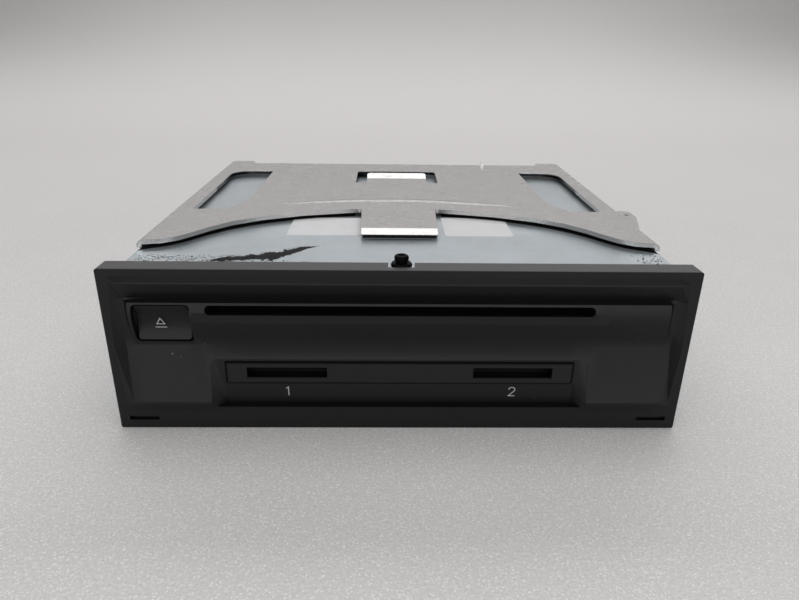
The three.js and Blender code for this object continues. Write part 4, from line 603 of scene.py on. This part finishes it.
on_top = cover_zinc.z.step(COVER_TOP - 0.5, COVER_TOP - 0.1)
ragged = cover_zinc.noise(3.4, 6, rough=0.75)
streak = cover_zinc.noise(1.3, 4, rough=0.7)
middle_bends = ((-62.3, 0.27), (-46.8, 0.14), (-42.5, 1.0), (-33.5, 0.4))
width_bends = ((-63, 0.28), (-58, 0.0), (-49, 0.2), (-43, -0.1), (-36, -0.4), (-31, 0.0))
middle = along(cover_zinc.x, -71.6, *middle_bends)
half_width = along(cover_zinc.x, 0.6, *width_bends)
apart = (cover_zinc.y - middle + 1.1 * (streak - 0.5)).size() - half_width * (4.6 * ragged - 1.0)
ends = cover_zinc.x.step(-64, -62.5) * cover_zinc.x.below(-28, 3)
smear = apart.below(0.3, 0.45) * ends * on_top
crust = cover_zinc.x.step(-89, -84) * cover_zinc.x.below(-40, 8) * cover_zinc.y.below(-64.5, 3)
ring = (cover_zinc.noise(7, 4, rough=0.6) - 0.52).size().below(0.045, 0.035)
rings = ring * crust * on_top
# The smear is real residue; the gap mask beside it is painted shade in the same near black.
smear_and_shade = smear.most(painted_gap_shade(cover_zinc) * on_top)
stain = rings * (0.25 + 0.6 * streak)
stained = cover_zinc.blend(stain, cover_zinc.colour_wire, colour(96, 98, 98))
tar_and_shade = cover_zinc.blend(streak, colour(3, 3, 4), colour(18, 18, 19))
cover_zinc.set("Base Color", cover_zinc.blend(smear_and_shade, stained, tar_and_shade))
cover_zinc.set("Metallic", 0.8 - 0.78 * smear_and_shade - 0.3 * rings * (1 - smear_and_shade))
cover_zinc.set("Roughness", cover_zinc.roughness_wire * (1 - smear_and_shade) + 0.75 * smear_and_shade + 0.15 * rings)
cover_zinc.shader.inputs["Specular IOR Level"].default_value = 0.3
cover_zinc.bump(0.004 * streak + 0.35 * smear * (0.4 + 0.6 * streak) + 0.05 * rings)
worked("cover_panel", "top_cover", CASING, cover_zinc, 0.25)

# Labels: two blank sheets of white paper with rounded corners, stuck to the cover. The bracket hides
# the rear part of each, and painted shade from its gap darkens them too.
paper = Finish("paper", colour(214, 214, 217), roughness=0.62)
clean_paper = paper.blend(paper.noise(5, 5), colour(212, 212, 213), colour(228, 228, 231))
# Painted shade: the labels are darkened where the bracket's gap lies over them.
paper.set("Base Color", paper.blend(painted_gap_shade(paper), clean_paper, colour(12, 12, 12)))
paper.bump(0.01 * paper.noise(0.25, 3))
LABEL_FRONT, LABEL_THICK, LABEL_CORNER, CORNER_STEPS = -42.9, 0.12, 1.2, 5


def rounded_sheet(name, left, right, front, back, level, thick, corner):
    """A flat sheet with rounded corners, in millimetres, lying on a level."""
    sheet = bmesh.new()
    rim = []
    for x, y, quarter in (
        (right - corner, back - corner, 0),
        (left + corner, back - corner, 1),
        (left + corner, front + corner, 2),
        (right - corner, front + corner, 3),
    ):
        for step in range(CORNER_STEPS + 1):
            turn = (quarter + step / CORNER_STEPS) * pi / 2
            rim.append(((x + corner * cos(turn)) * MM, (y + corner * sin(turn)) * MM))
    upper = [sheet.verts.new((x, y, (level + thick) * MM)) for x, y in rim]
    lower = [sheet.verts.new((x, y, level * MM)) for x, y in rim]
    sheet.faces.new(upper)
    sheet.faces.new(lower[::-1])
    for i in range(len(rim)):
        j = (i + 1) % len(rim)
        sheet.faces.new((lower[i], lower[j], upper[j], upper[i]))
    return mesh_of(name, sheet)


for name, left, right, back in (("label_left", -42.3, -14.6, -18.5), ("label_right", 17.3, 43.2, -17.5)):
    mesh = rounded_sheet(name, left, right, LABEL_FRONT, back, COVER_TOP, LABEL_THICK, LABEL_CORNER)
    as_piece(name, mesh, CASING, paper)

# Crumbs: bits of old foam and dirt stuck to the cover along its front edge, most of them in its left
# corner and a few in its right. Each one is a small lump with its own size and turn.
grit = Finish("grit", colour(70, 69, 66), roughness=0.9)
bit = grit.noise(1.2, 2).step(0.42, 0.58)
grit.set("Base Color", grit.blend(bit, colour(30, 29, 28), colour(206, 207, 206)))
crumbs = Recipe("crumbs", per_square_mm=0.7)
density = crumbs.size["per_square_mm"] / (MM * MM)
scatter = crumbs.node(
    "GeometryNodeDistributePointsOnFaces",
    {"distribute_method": "RANDOM"},
    {"Mesh": crumbs.start, "Density": density, "Seed": 7},
)
crumb = crumbs.node("GeometryNodeMeshIcoSphere", {}, {"Radius": MM, "Subdivisions": 1})


def varied(low, high, seed):
    """Three random values for every crumb, each between its lowest and its highest."""
    inputs = {0: low, 1: high, "Seed": seed}
    return crumbs.node("FunctionNodeRandomValue", {"data_type": "FLOAT_VECTOR"}, inputs)


lump = varied((0.1, 0.1, 0.05), (0.5, 0.32, 0.2), 3)
turned = varied((0, 0, 0), (0.4, 0.4, 6.28), 5)
bits = crumbs.copies(scatter, crumb, Rotation=turned, Scale=lump)
patches = bmesh.new()
for left, right, front, back in ((-88, -62, -76, -67), (-66, -30, -74, -71.5), (80, 89, -74, -64)):
    corners = [(left, front), (right, front), (right, back), (left, back)]
    patches.faces.new([patches.verts.new((x * MM, y * MM, (COVER_TOP + 0.03) * MM)) for x, y in corners])
crumb_mesh = crumbs.made(bits, grit, mesh_of("crumb_patches", patches))
as_piece("crumbs", crumb_mesh, CASING, grit)

# Mounting bracket: a thicker pressed steel plate over the cover, with a window on each side and a
# tongue that steps down to the cover at the back. Its cut walls and the tab's front rim carry painted
# shade.
PLATE_TOP = 57.1
plate = zinc("plate_steel", colour(201, 200, 199), colour(193, 192, 191), 1.2, 0.25)
scribble = (plate.noise(2.2, 3, stretch=(1, 0.7, 1)) - 0.5).size().below(0.012, 0.012)
marked = (plate.x + 1.5).size().below(11, 3) * (plate.y + 27).size().below(9.5, 2)
rubbed = plate.noise(9, 5, rough=0.6).step(0.55, 0.75)
worn_plate = plate.blend(0.35 * rubbed, plate.colour_wire, colour(160, 157, 153))
marked_plate = plate.blend(0.5 * scribble * marked, worn_plate, colour(108, 106, 104))
# Painted shade: the windows' cut walls and the tab's front rim are coloured near black.
window_rows = plate.y.step(20, 24) * plate.y.below(74, 2)
window_columns = plate.x.size().step(19.5, 20).most(plate.y.step(50.5, 51))
window_walls = plate.z.below(PLATE_TOP - 0.25, 0.1) * window_rows * window_columns
tab_rim = plate.y.below(-47.7, 0.15) * plate.x.size().below(20, 0.5)
painted_wall_shade = window_walls.most(tab_rim)
plate.set("Base Color", plate.blend(painted_wall_shade, marked_plate, colour(30, 31, 33)))
plate.set("Roughness", plate.roughness_wire + 0.12 * scribble * marked + 0.06 * rubbed)
coat(plate, "clamp_arm")
BENDS = (-43.1, 44.5)
worked("bracket_plate", "mounting_bracket", CASING, plate, 0.35, creases=BENDS)

# Crease: a low ridge pressed across the bracket in a long arc, which stiffens the plate. It's swept
# along a drawn line and fades out at both ends.
crease = Recipe("crease", wide=2.4 * MM, high=0.5 * MM, points=72)
arc = crease.node("GeometryNodeMeshToCurve", {}, {0: crease.start})
even = crease.node("GeometryNodeResampleCurve", {}, {"Curve": arc, "Count": crease.size["points"]})
upright = crease.node("GeometryNodeSetCurveNormal", {"mode": "Z_UP"}, {"Curve": even})
how_far = crease.node("GeometryNodeSplineParameter", {}, {}, 0)
swell = 1 - (2 * how_far - 1).size().power(4)
ridge_line = crease.node(
    "GeometryNodeCurvePrimitiveQuadrilateral",
    {"mode": "POINTS"},
    {
        "Point 1": crease.place(x=-1 * crease.size["wide"]),
        "Point 2": crease.place(y=crease.size["high"]),
        "Point 3": crease.place(x=crease.size["wide"]),
        "Point 4": crease.place(y=-0.3 * crease.size["high"]),
    },
)
swept = crease.bar(upright, ridge_line, Scale=swell)
LEFT_ARC = [(-50, -8.4), (-46, -7.1), (-33, -3.6), (-20, -1.1), (-8, -0.2)]
RIGHT_ARC = [(2, -0.1), (12, -0.9), (20, -2.1), (33, -5.0), (45, -8.1), (50, -9.6)]
arc_level = (PLATE_TOP + 0.005) * MM
arc_mesh = drawn_line("arc", [(x * MM, y * MM, arc_level) for x, y in LEFT_ARC + RIGHT_ARC])
crease_mesh = crease.made(swept, plate, arc_mesh)
as_piece("bracket_crease", crease_mesh, CASING, plate)

# Screws: zinc-plated steel pan heads with a cross recess, four at the sides and two at the back. One
# profile is spun into a head, and a tapered cross is cut out of it.
DOME = [(0, 1.25), (0.9, 1.22), (1.7, 1.08), (2.3, 0.84), (2.65, 0.52), (2.8, 0.2)]
SHANK = [(2.8, 0), (1.5, 0), (1.5, -4.9), (0, -4.9)]
head = bmesh.new()
profile = [head.verts.new((r * MM, 0, z * MM)) for r, z in DOME + SHANK]
edges = [head.edges.new(pair) for pair in zip(profile, profile[1:])]
bmesh.ops.spin(head, geom=profile + edges, cent=(0, 0, 0), axis=(0, 0, 1), angle=2 * pi, steps=40)
bmesh.ops.remove_doubles(head, verts=head.verts, dist=MM / 500)
bmesh.ops.recalc_face_normals(head, faces=head.faces)
CROSS_LONG, CROSS_WIDE, CROSS_FLOOR, CROSS_TAPER, OVER_HEAD = 3.4, 0.75, 0.35, 0.55, 1.5
BOX_FACES = ((3, 2, 1, 0), (4, 5, 6, 7), (0, 1, 5, 4), (1, 2, 6, 5), (2, 3, 7, 6), (3, 0, 4, 7))
cross = bmesh.new()
for wide, deep in ((CROSS_LONG, CROSS_WIDE), (CROSS_WIDE, CROSS_LONG)):
    corners = [
        cross.verts.new((x * wide / 2 * MM * share, y * deep / 2 * MM * share, z * MM))
        for z, share in ((CROSS_FLOOR, CROSS_TAPER), (OVER_HEAD, 1.0))
        for x, y in ((-1, -1), (1, -1), (1, 1), (-1, 1))
    ]
    for face in BOX_FACES:
        cross.faces.new([corners[i] for i in face])
plain_head = linked("screw_head", mesh_of("screw_head", head))
cutter = linked("cross_cutter", mesh_of("cross", cross))
recess = plain_head.modifiers.new("recess", "BOOLEAN")
recess.operation, recess.object, recess.use_self = "DIFFERENCE", cutter, True
head_mesh = applied(plain_head)
smooth(head_mesh, 32)
for part in (plain_head, cutter):
    bpy.data.objects.remove(part)

SIDE_REACH, HEAD_HIGH = 93.2, 1.4
places, facings, replaced = [], [], []
for node in frame["nodes"]:
    if "_screw_" in node:
        low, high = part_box(node)
        middle_point = (low + high) / 2
        if node.startswith("side"):
            out = 1 if middle_point.x > 0 else -1
            seat = Vector((out * (SIDE_REACH - HEAD_HIGH) * MM, middle_point.y, middle_point.z))
            facings.append((out, 0, 0))
        else:
            seat = Vector((middle_point.x, high.y - HEAD_HIGH * MM, middle_point.z))
            facings.append((0, 1, 0))
        places.append(seat)
        replaced.append(node)
seats = bpy.data.meshes.new("screw_seats")
seats.from_pydata(places, [], [])
facing = seats.attributes.new("facing", "FLOAT_VECTOR", "POINT")
for i, way in enumerate(facings):
    facing.data[i].vector = way
pattern = linked("screw_pattern", head_mesh)
screws = Recipe("screws", scale=1.0)
one = screws.node("GeometryNodeObjectInfo", {}, {"Object": pattern, "As Instance": True}, "Geometry")
way = screws.node("GeometryNodeInputNamedAttribute", {"data_type": "FLOAT_VECTOR"}, {"Name": "facing"})
turn = screws.node("FunctionNodeAlignRotationToVector", {"axis": "Z"}, {"Vector": way})
heads = screws.copies(screws.start, one, Rotation=turn, Scale=screws.size["scale"])
screw_mesh = screws.made(heads, steel, seats)
bpy.data.objects.remove(pattern)
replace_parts(as_piece("case_screws", screw_mesh, CASING, steel), *replaced)

# Felts: two strips of black felt glued behind the disc slot, one above it and one below. They keep
# dust out and wipe the disc.
felt = Finish("felt", colour(22, 22, 23), roughness=0.95)
FIBRES = (0.4, 1, 1)
fibre = felt.noise(0.3, 3, stretch=FIBRES)
felt.set("Base Color", felt.blend(fibre, colour(14, 14, 15), colour(40, 40, 41)))
felt.bump(0.12 * felt.noise(0.25, 3, stretch=FIBRES))
coat(felt, "slot_felt_upper", "slot_felt_lower")

# Front bezel: one black moulding with a fine spark-eroded grain, held by four snap hooks. Dust and a
# painted sheen lie on its top face, a few specks cling to its front, and its lower half is lightened
# by a painted sheen.
BEZEL_TOP, LOWER_FIELD, BAND_TOP = 57.1, 34, 8.6


def moulded(name, specks=()):
    """Black moulded plastic with a fine grain, and specks of dust at x, z with a radius."""
    finish = Finish(name, colour(22, 22, 23), specular_ior_level=0.25)
    grain = finish.noise(0.28, 2)
    # Dust and painted sheen: the top face is coloured lighter and made smoother.
    dust_and_sheen = finish.z.step(BEZEL_TOP - 0.2, BEZEL_TOP - 0.02) * (0.8 + 0.35 * finish.noise(1.1, 5, rough=0.7))
    face = finish.noise(7, 5)
    plain = finish.blend(face, colour(8, 8, 9), colour(12, 12, 13))
    # Painted sheen: the lower panel is coloured a little lighter.
    lower_half = finish.z.below(LOWER_FIELD, 5) * finish.z.step(BAND_TOP, BAND_TOP + 1)
    painted_lower_sheen = lower_half * finish.x.size().below(90, 3)
    plain = finish.blend(painted_lower_sheen, plain, finish.blend(face, colour(14, 14, 15), colour(18, 18, 19)))
    shade = finish.blend(dust_and_sheen, plain, colour(76, 76, 78))
    for x, z, radius in specks:
        edge = radius * (0.6 + 0.9 * finish.noise(0.5, 3, rough=0.7))
        beside, above = finish.x - x, finish.z - z
        off = (beside * beside + above * above).root()
        shade = finish.blend((edge - off).step(-0.06, 0.18), shade, colour(68, 68, 66))
    finish.colour_wire = shade
    finish.set("Base Color", shade)
    finish.set("Roughness", 0.38 + 0.1 * finish.noise(3, 4) + 0.07 * grain - 0.1 * dust_and_sheen)
    finish.bump(0.015 * grain)
    return finish


SPECKS = (
    (-71.1, 47.2, 0.2),
    (-74.2, 27.2, 0.4),
    (-71.4, 26.2, 0.26),
    (-63.3, 30.6, 0.3),
    (76.6, 49.5, 0.2),
    (45.6, 10.5, 0.22),
)
moulding = moulded("moulded_black", SPECKS)
FRONT_PLANE = -89.1
END_FROM, END_TO, END_LOW, END_HIGH, END_DEPTH = 86.4, 89.2, 31, 48, 1.2


def shallow_ends(x, y, z):
    """Softens the hollow between the rounded panel's ends and the side bars."""
    at_end = END_FROM < abs(x) < END_TO and END_LOW < z < END_HIGH
    if at_end and END_DEPTH < y - FRONT_PLANE < 3:
        y = FRONT_PLANE + END_DEPTH
    return x, y, z


ACROSS = [x + 0.37 for x in range(-84, 85, 6)]
worked("bezel", "front_bezel", CASING, moulding, 0.18, cuts=ACROSS, eased=shallow_ends)

# Card slot strip and eject key: two more mouldings in the same black, clipped in from behind. Painted
# shade runs round the strip's rim as a near black seam, and the key's face is hollowed for a fingertip.
inset = moulded("moulded_insets")
STRIP_HALF, STRIP_LOW, STRIP_HIGH = 57.4, 16.4, 24.25
# Painted shade: the strip's rim is coloured near black and made rough, as the seam's shade.
to_edge = (STRIP_HALF - inset.x.size()).least(inset.z - STRIP_LOW).least(STRIP_HIGH - inset.z)
painted_seam_shade = to_edge.below(0.6, 0.12) * inset.z.below(26, 1)
inset.set("Base Color", inset.blend(painted_seam_shade, inset.colour_wire, colour(1, 1, 1)))
inset.set("Roughness", (0.42 + 0.1 * inset.noise(3, 4)) * (1 - painted_seam_shade) + 0.95 * painted_seam_shade)
worked("slot_strip", "card_slot_strip", CASING, inset, 0.32, cuts=ACROSS)
KEY_FOOT, KEY_TOP, KEY_FACE, KEY_DISH = 32.4, 44.8, 2.6, 0.8


def dished(x, y, z):
    """Hollows the key's face a little more, so that a fingertip sits in it."""
    share = min(1, max(0, (z - KEY_FOOT) / (KEY_TOP - KEY_FOOT)))
    if y < FRONT_PLANE + KEY_FACE:
        y += KEY_DISH * 4 * share * (1 - share)
    return x, y, z


worked("eject_key", "eject_button", "eject_button", inset, 0.25, eased=dished)

# Locating stud: a hard black peg with a satin face, whose leg is pressed into a hole in the cover's
# front tab. It centres the front when the drive is fitted.
peg = Finish("stud_plastic", colour(6, 6, 7), specular_ior_level=0.05)
peg.set("Base Color", peg.blend(peg.noise(1.5, 4), colour(2, 2, 3), colour(6, 6, 7)))
peg.set("Roughness", 0.34 + 0.16 * peg.noise(0.6, 3))
worked("stud", "locating_stud", CASING, peg, 0.15)

# Printed signs: pale ink, pad-printed on the key and below the two card slots. The ink lies a few
# hundredths of a millimetre proud of the plastic.
ink = Finish("pale_ink", colour(176, 177, 178), roughness=0.5)
ink.set("Base Color", ink.blend(ink.noise(0.3, 3), colour(138, 139, 140), colour(160, 161, 162)))
INK_OUT, INK_IN, LONGEST_STEP = 0.03, 0.006, 0.35


def stroke(ink_mesh, surface, line, width, closed):
    """A stroke of ink along points x, z in millimetres, laid on the surface behind them."""
    count = len(line)
    sides = []
    for i, (x, z) in enumerate(line):
        before = Vector(line[i - 1]) if closed or i else Vector(line[0])
        after = Vector(line[(i + 1) % count]) if closed or i < count - 1 else Vector(line[-1])
        here = Vector((x, z))
        first = (here - before).normalized() if (here - before).length else (after - here).normalized()
        last = (after - here).normalized() if (after - here).length else first
        across = Vector((-(first + last).y, (first + last).x)).normalized()
        across *= width / 2 / max(0.5, across.dot(Vector((-first.y, first.x))))
        pair = []
        for point in (here + across, here - across):
            hit = surface.ray_cast(Vector((point.x * MM, -0.2, point.y * MM)), Vector((0, 1, 0)))[0]
            levels = [hit + Vector((0, depth * MM, 0)) for depth in (-INK_OUT, INK_IN)]
            pair.append([ink_mesh.verts.new(level) for level in levels])
        sides.append(pair)
    spans = list(zip(sides, sides[1:])) + ([(sides[-1], sides[0])] if closed else [])
    for (left, right), (next_left, next_right) in spans:
        ink_mesh.faces.new((left[0], right[0], next_right[0], next_left[0]))
        ink_mesh.faces.new((left[1], next_left[1], next_right[1], right[1]))
        ink_mesh.faces.new((left[0], next_left[0], next_left[1], left[1]))
        ink_mesh.faces.new((right[0], right[1], next_right[1], next_right[0]))
    if not closed:
        for left, right in (sides[0], sides[-1]):
            ink_mesh.faces.new((left[0], left[1], right[1], right[0]))


def printed(name, node, body, slot, *strokes):
    """Strokes of ink on a CAD node's surface, as one piece that rides on its body."""
    ink_mesh = bmesh.new()
    surface = surface_of(node)
    for line, width, closed in strokes:
        stroke(ink_mesh, surface, line, width, closed)
    bmesh.ops.recalc_face_normals(ink_mesh, faces=ink_mesh.faces)
    as_piece(name, mesh_of(name, ink_mesh), body, ink)


def stepped(line, closed=False):
    """The same line with points close enough to follow a curved surface."""
    points = []
    for start, end in zip(line, line[1:] + (line[:1] if closed else [])):
        run = (Vector(end) - Vector(start)).length
        steps = max(1, round(run / LONGEST_STEP))
        points += [tuple(Vector(start).lerp(Vector(end), i / steps)) for i in range(steps)]
    return points if closed else points + [line[-1]]


triangle = stepped([(-77.75, 37.85), (-75.25, 37.85), (-76.5, 39.95)], closed=True)
underline = stepped([(-78.35, 36.75), (-74.65, 36.75)])
SIGN_STROKE, DIGIT_STROKE, DIGIT_FOOT = 0.28, 0.33, 11.4
key_signs = [(triangle, SIGN_STROKE, True), (underline, SIGN_STROKE, False)]
printed("eject_sign", "eject_button", "eject_button", "white_plastic", *key_signs)
ONE = [(-0.75, 2.75), (0.0, 3.4), (0.0, 0.0)]
TWO_BOW = [(-1.05, 2.5), (-0.95, 2.95), (-0.5, 3.32), (0.1, 3.4), (0.7, 3.2), (1.0, 2.75), (0.95, 2.2)]
TWO = TWO_BOW + [(0.55, 1.6), (-1.05, 0.0), (1.1, 0.0)]
for name, x, digit in (("sign_one", -37.3, ONE), ("sign_two", 37.7, TWO)):
    line = stepped([(x + across, DIGIT_FOOT + up) for across, up in digit])
    printed(name, "front_bezel", CASING, "white_plastic", (line, DIGIT_STROKE, False))

# Studio: the photograph's own view, a pale grainy table that rises into a wall behind the drive, and
# three soft boxes: a low one in front, a wide one above and a narrow one high up behind.
EYE = Vector((-0.00465, -0.2737, 0.12468))
YAW, TILT, ROLL = 1.25, 22.73, -0.79
FOCAL_PIXELS, PHOTO_PIXELS, SENSOR = 640.58, 799, 36
camera = linked("camera", bpy.data.cameras.new("camera"))
camera.data.lens = FOCAL_PIXELS * SENSOR / PHOTO_PIXELS
camera.data.sensor_width = SENSOR
camera.data.clip_start = 0.01
camera.matrix_world = (
    Matrix.Translation(EYE)
    @ Matrix.Rotation(-radians(YAW), 4, "Z")
    @ Matrix.Rotation(radians(90 - TILT), 4, "X")
    @ Matrix.Rotation(-radians(ROLL), 4, "Z")
)
bpy.context.scene.camera = camera

table = Finish("table", colour(200, 199, 197), roughness=0.55)
speck = table.noise(0.9, 4, rough=0.75)
patch = table.noise(60, 2)
glitter = table.cells(0.95).below(0.33, 0.15) * table.noise(3, 2).step(0.3, 0.5)
grainy = 0.8 * speck.step(0.3, 0.75) + 0.2 * patch
plain_top = table.blend(grainy, colour(202, 200, 199), colour(234, 233, 232))
# Painted shade: the table's front corners are coloured darker.
corner = table.x.size().step(80, 250) * table.y.below(-100, 130)
shaded_top = table.blend(corner, plain_top, colour(182, 180, 179))
top = table.blend(0.65 * glitter, shaded_top, colour(254, 254, 253))
band = table.z.below(330, 100)
# Painted shade: the wall is coloured darker upwards and towards its ends.
wall = table.blend(table.z.step(10, 200) * band, colour(222, 219, 219), colour(184, 181, 181))
painted_wall_end_shade = table.x.size().step(200, 800) * table.z.step(0, 170) * band
wall = table.blend(painted_wall_end_shade, wall, colour(160, 157, 157))
table.set("Base Color", table.blend(table.y.step(60, 420), top, wall))
table.bump(0.03 * speck)
floor_z = cad_box[0].z
ground = bmesh.new()
reach, wall_y, wall_r, wall_z, SWEEP_STEPS = 2.5, 1.0, 0.5, 2.5, 24
path = [(-reach, floor_z), (wall_y - wall_r, floor_z)]
for turn in range(1, SWEEP_STEPS + 1):
    angle = radians(90 * turn / SWEEP_STEPS)
    path.append((wall_y - wall_r + wall_r * sin(angle), floor_z + wall_r * (1 - cos(angle))))
path.append((wall_y, wall_z))
rows = [[ground.verts.new((x, y, z)) for x in (-reach, reach)] for y, z in path]
for low, high in zip(rows, rows[1:]):
    ground.faces.new((low[0], low[1], high[1], high[0]))
sweep = mesh_of("table", ground)
sweep.shade_smooth()
sweep.materials.append(table.material)
backdrop = linked("table", sweep)


def lamp(name, width, height, level, place, aim):
    """A soft box, with its size and places in metres and its own brightness, where 1 is white."""
    light = bpy.data.lights.new(name, "AREA")
    light.shape = "RECTANGLE"
    light.size, light.size_y = width, height
    light.energy = level * pi * width * height
    facing = (Vector(aim) - Vector(place)).to_track_quat("-Z", "Y")
    linked(name, light).matrix_world = Matrix.Translation(place) @ facing.to_matrix().to_4x4()


lamp("lamp_front", 2.8, 0.45, 2.6, (0, -1.1, 0.22), (0, 0, 0.03))
lamp("lamp_above", 2.4, 1.5, 1.05, (0, -0.12, 1.4), (0, 0, 0))
lamp("lamp_behind", 2.4, 0.25, 2.6, (0.03, 0.93, 0.98), (0, 0, 0.05))

world = bpy.data.worlds.new("room")
world.use_nodes = True
room_light = world.node_tree.nodes["Background"].inputs
room_light["Color"].default_value = (1, 0.99, 0.98, 1)
room_light["Strength"].default_value = 0.2
bpy.context.scene.world = world
bpy.context.scene.view_settings.view_transform = "Standard"
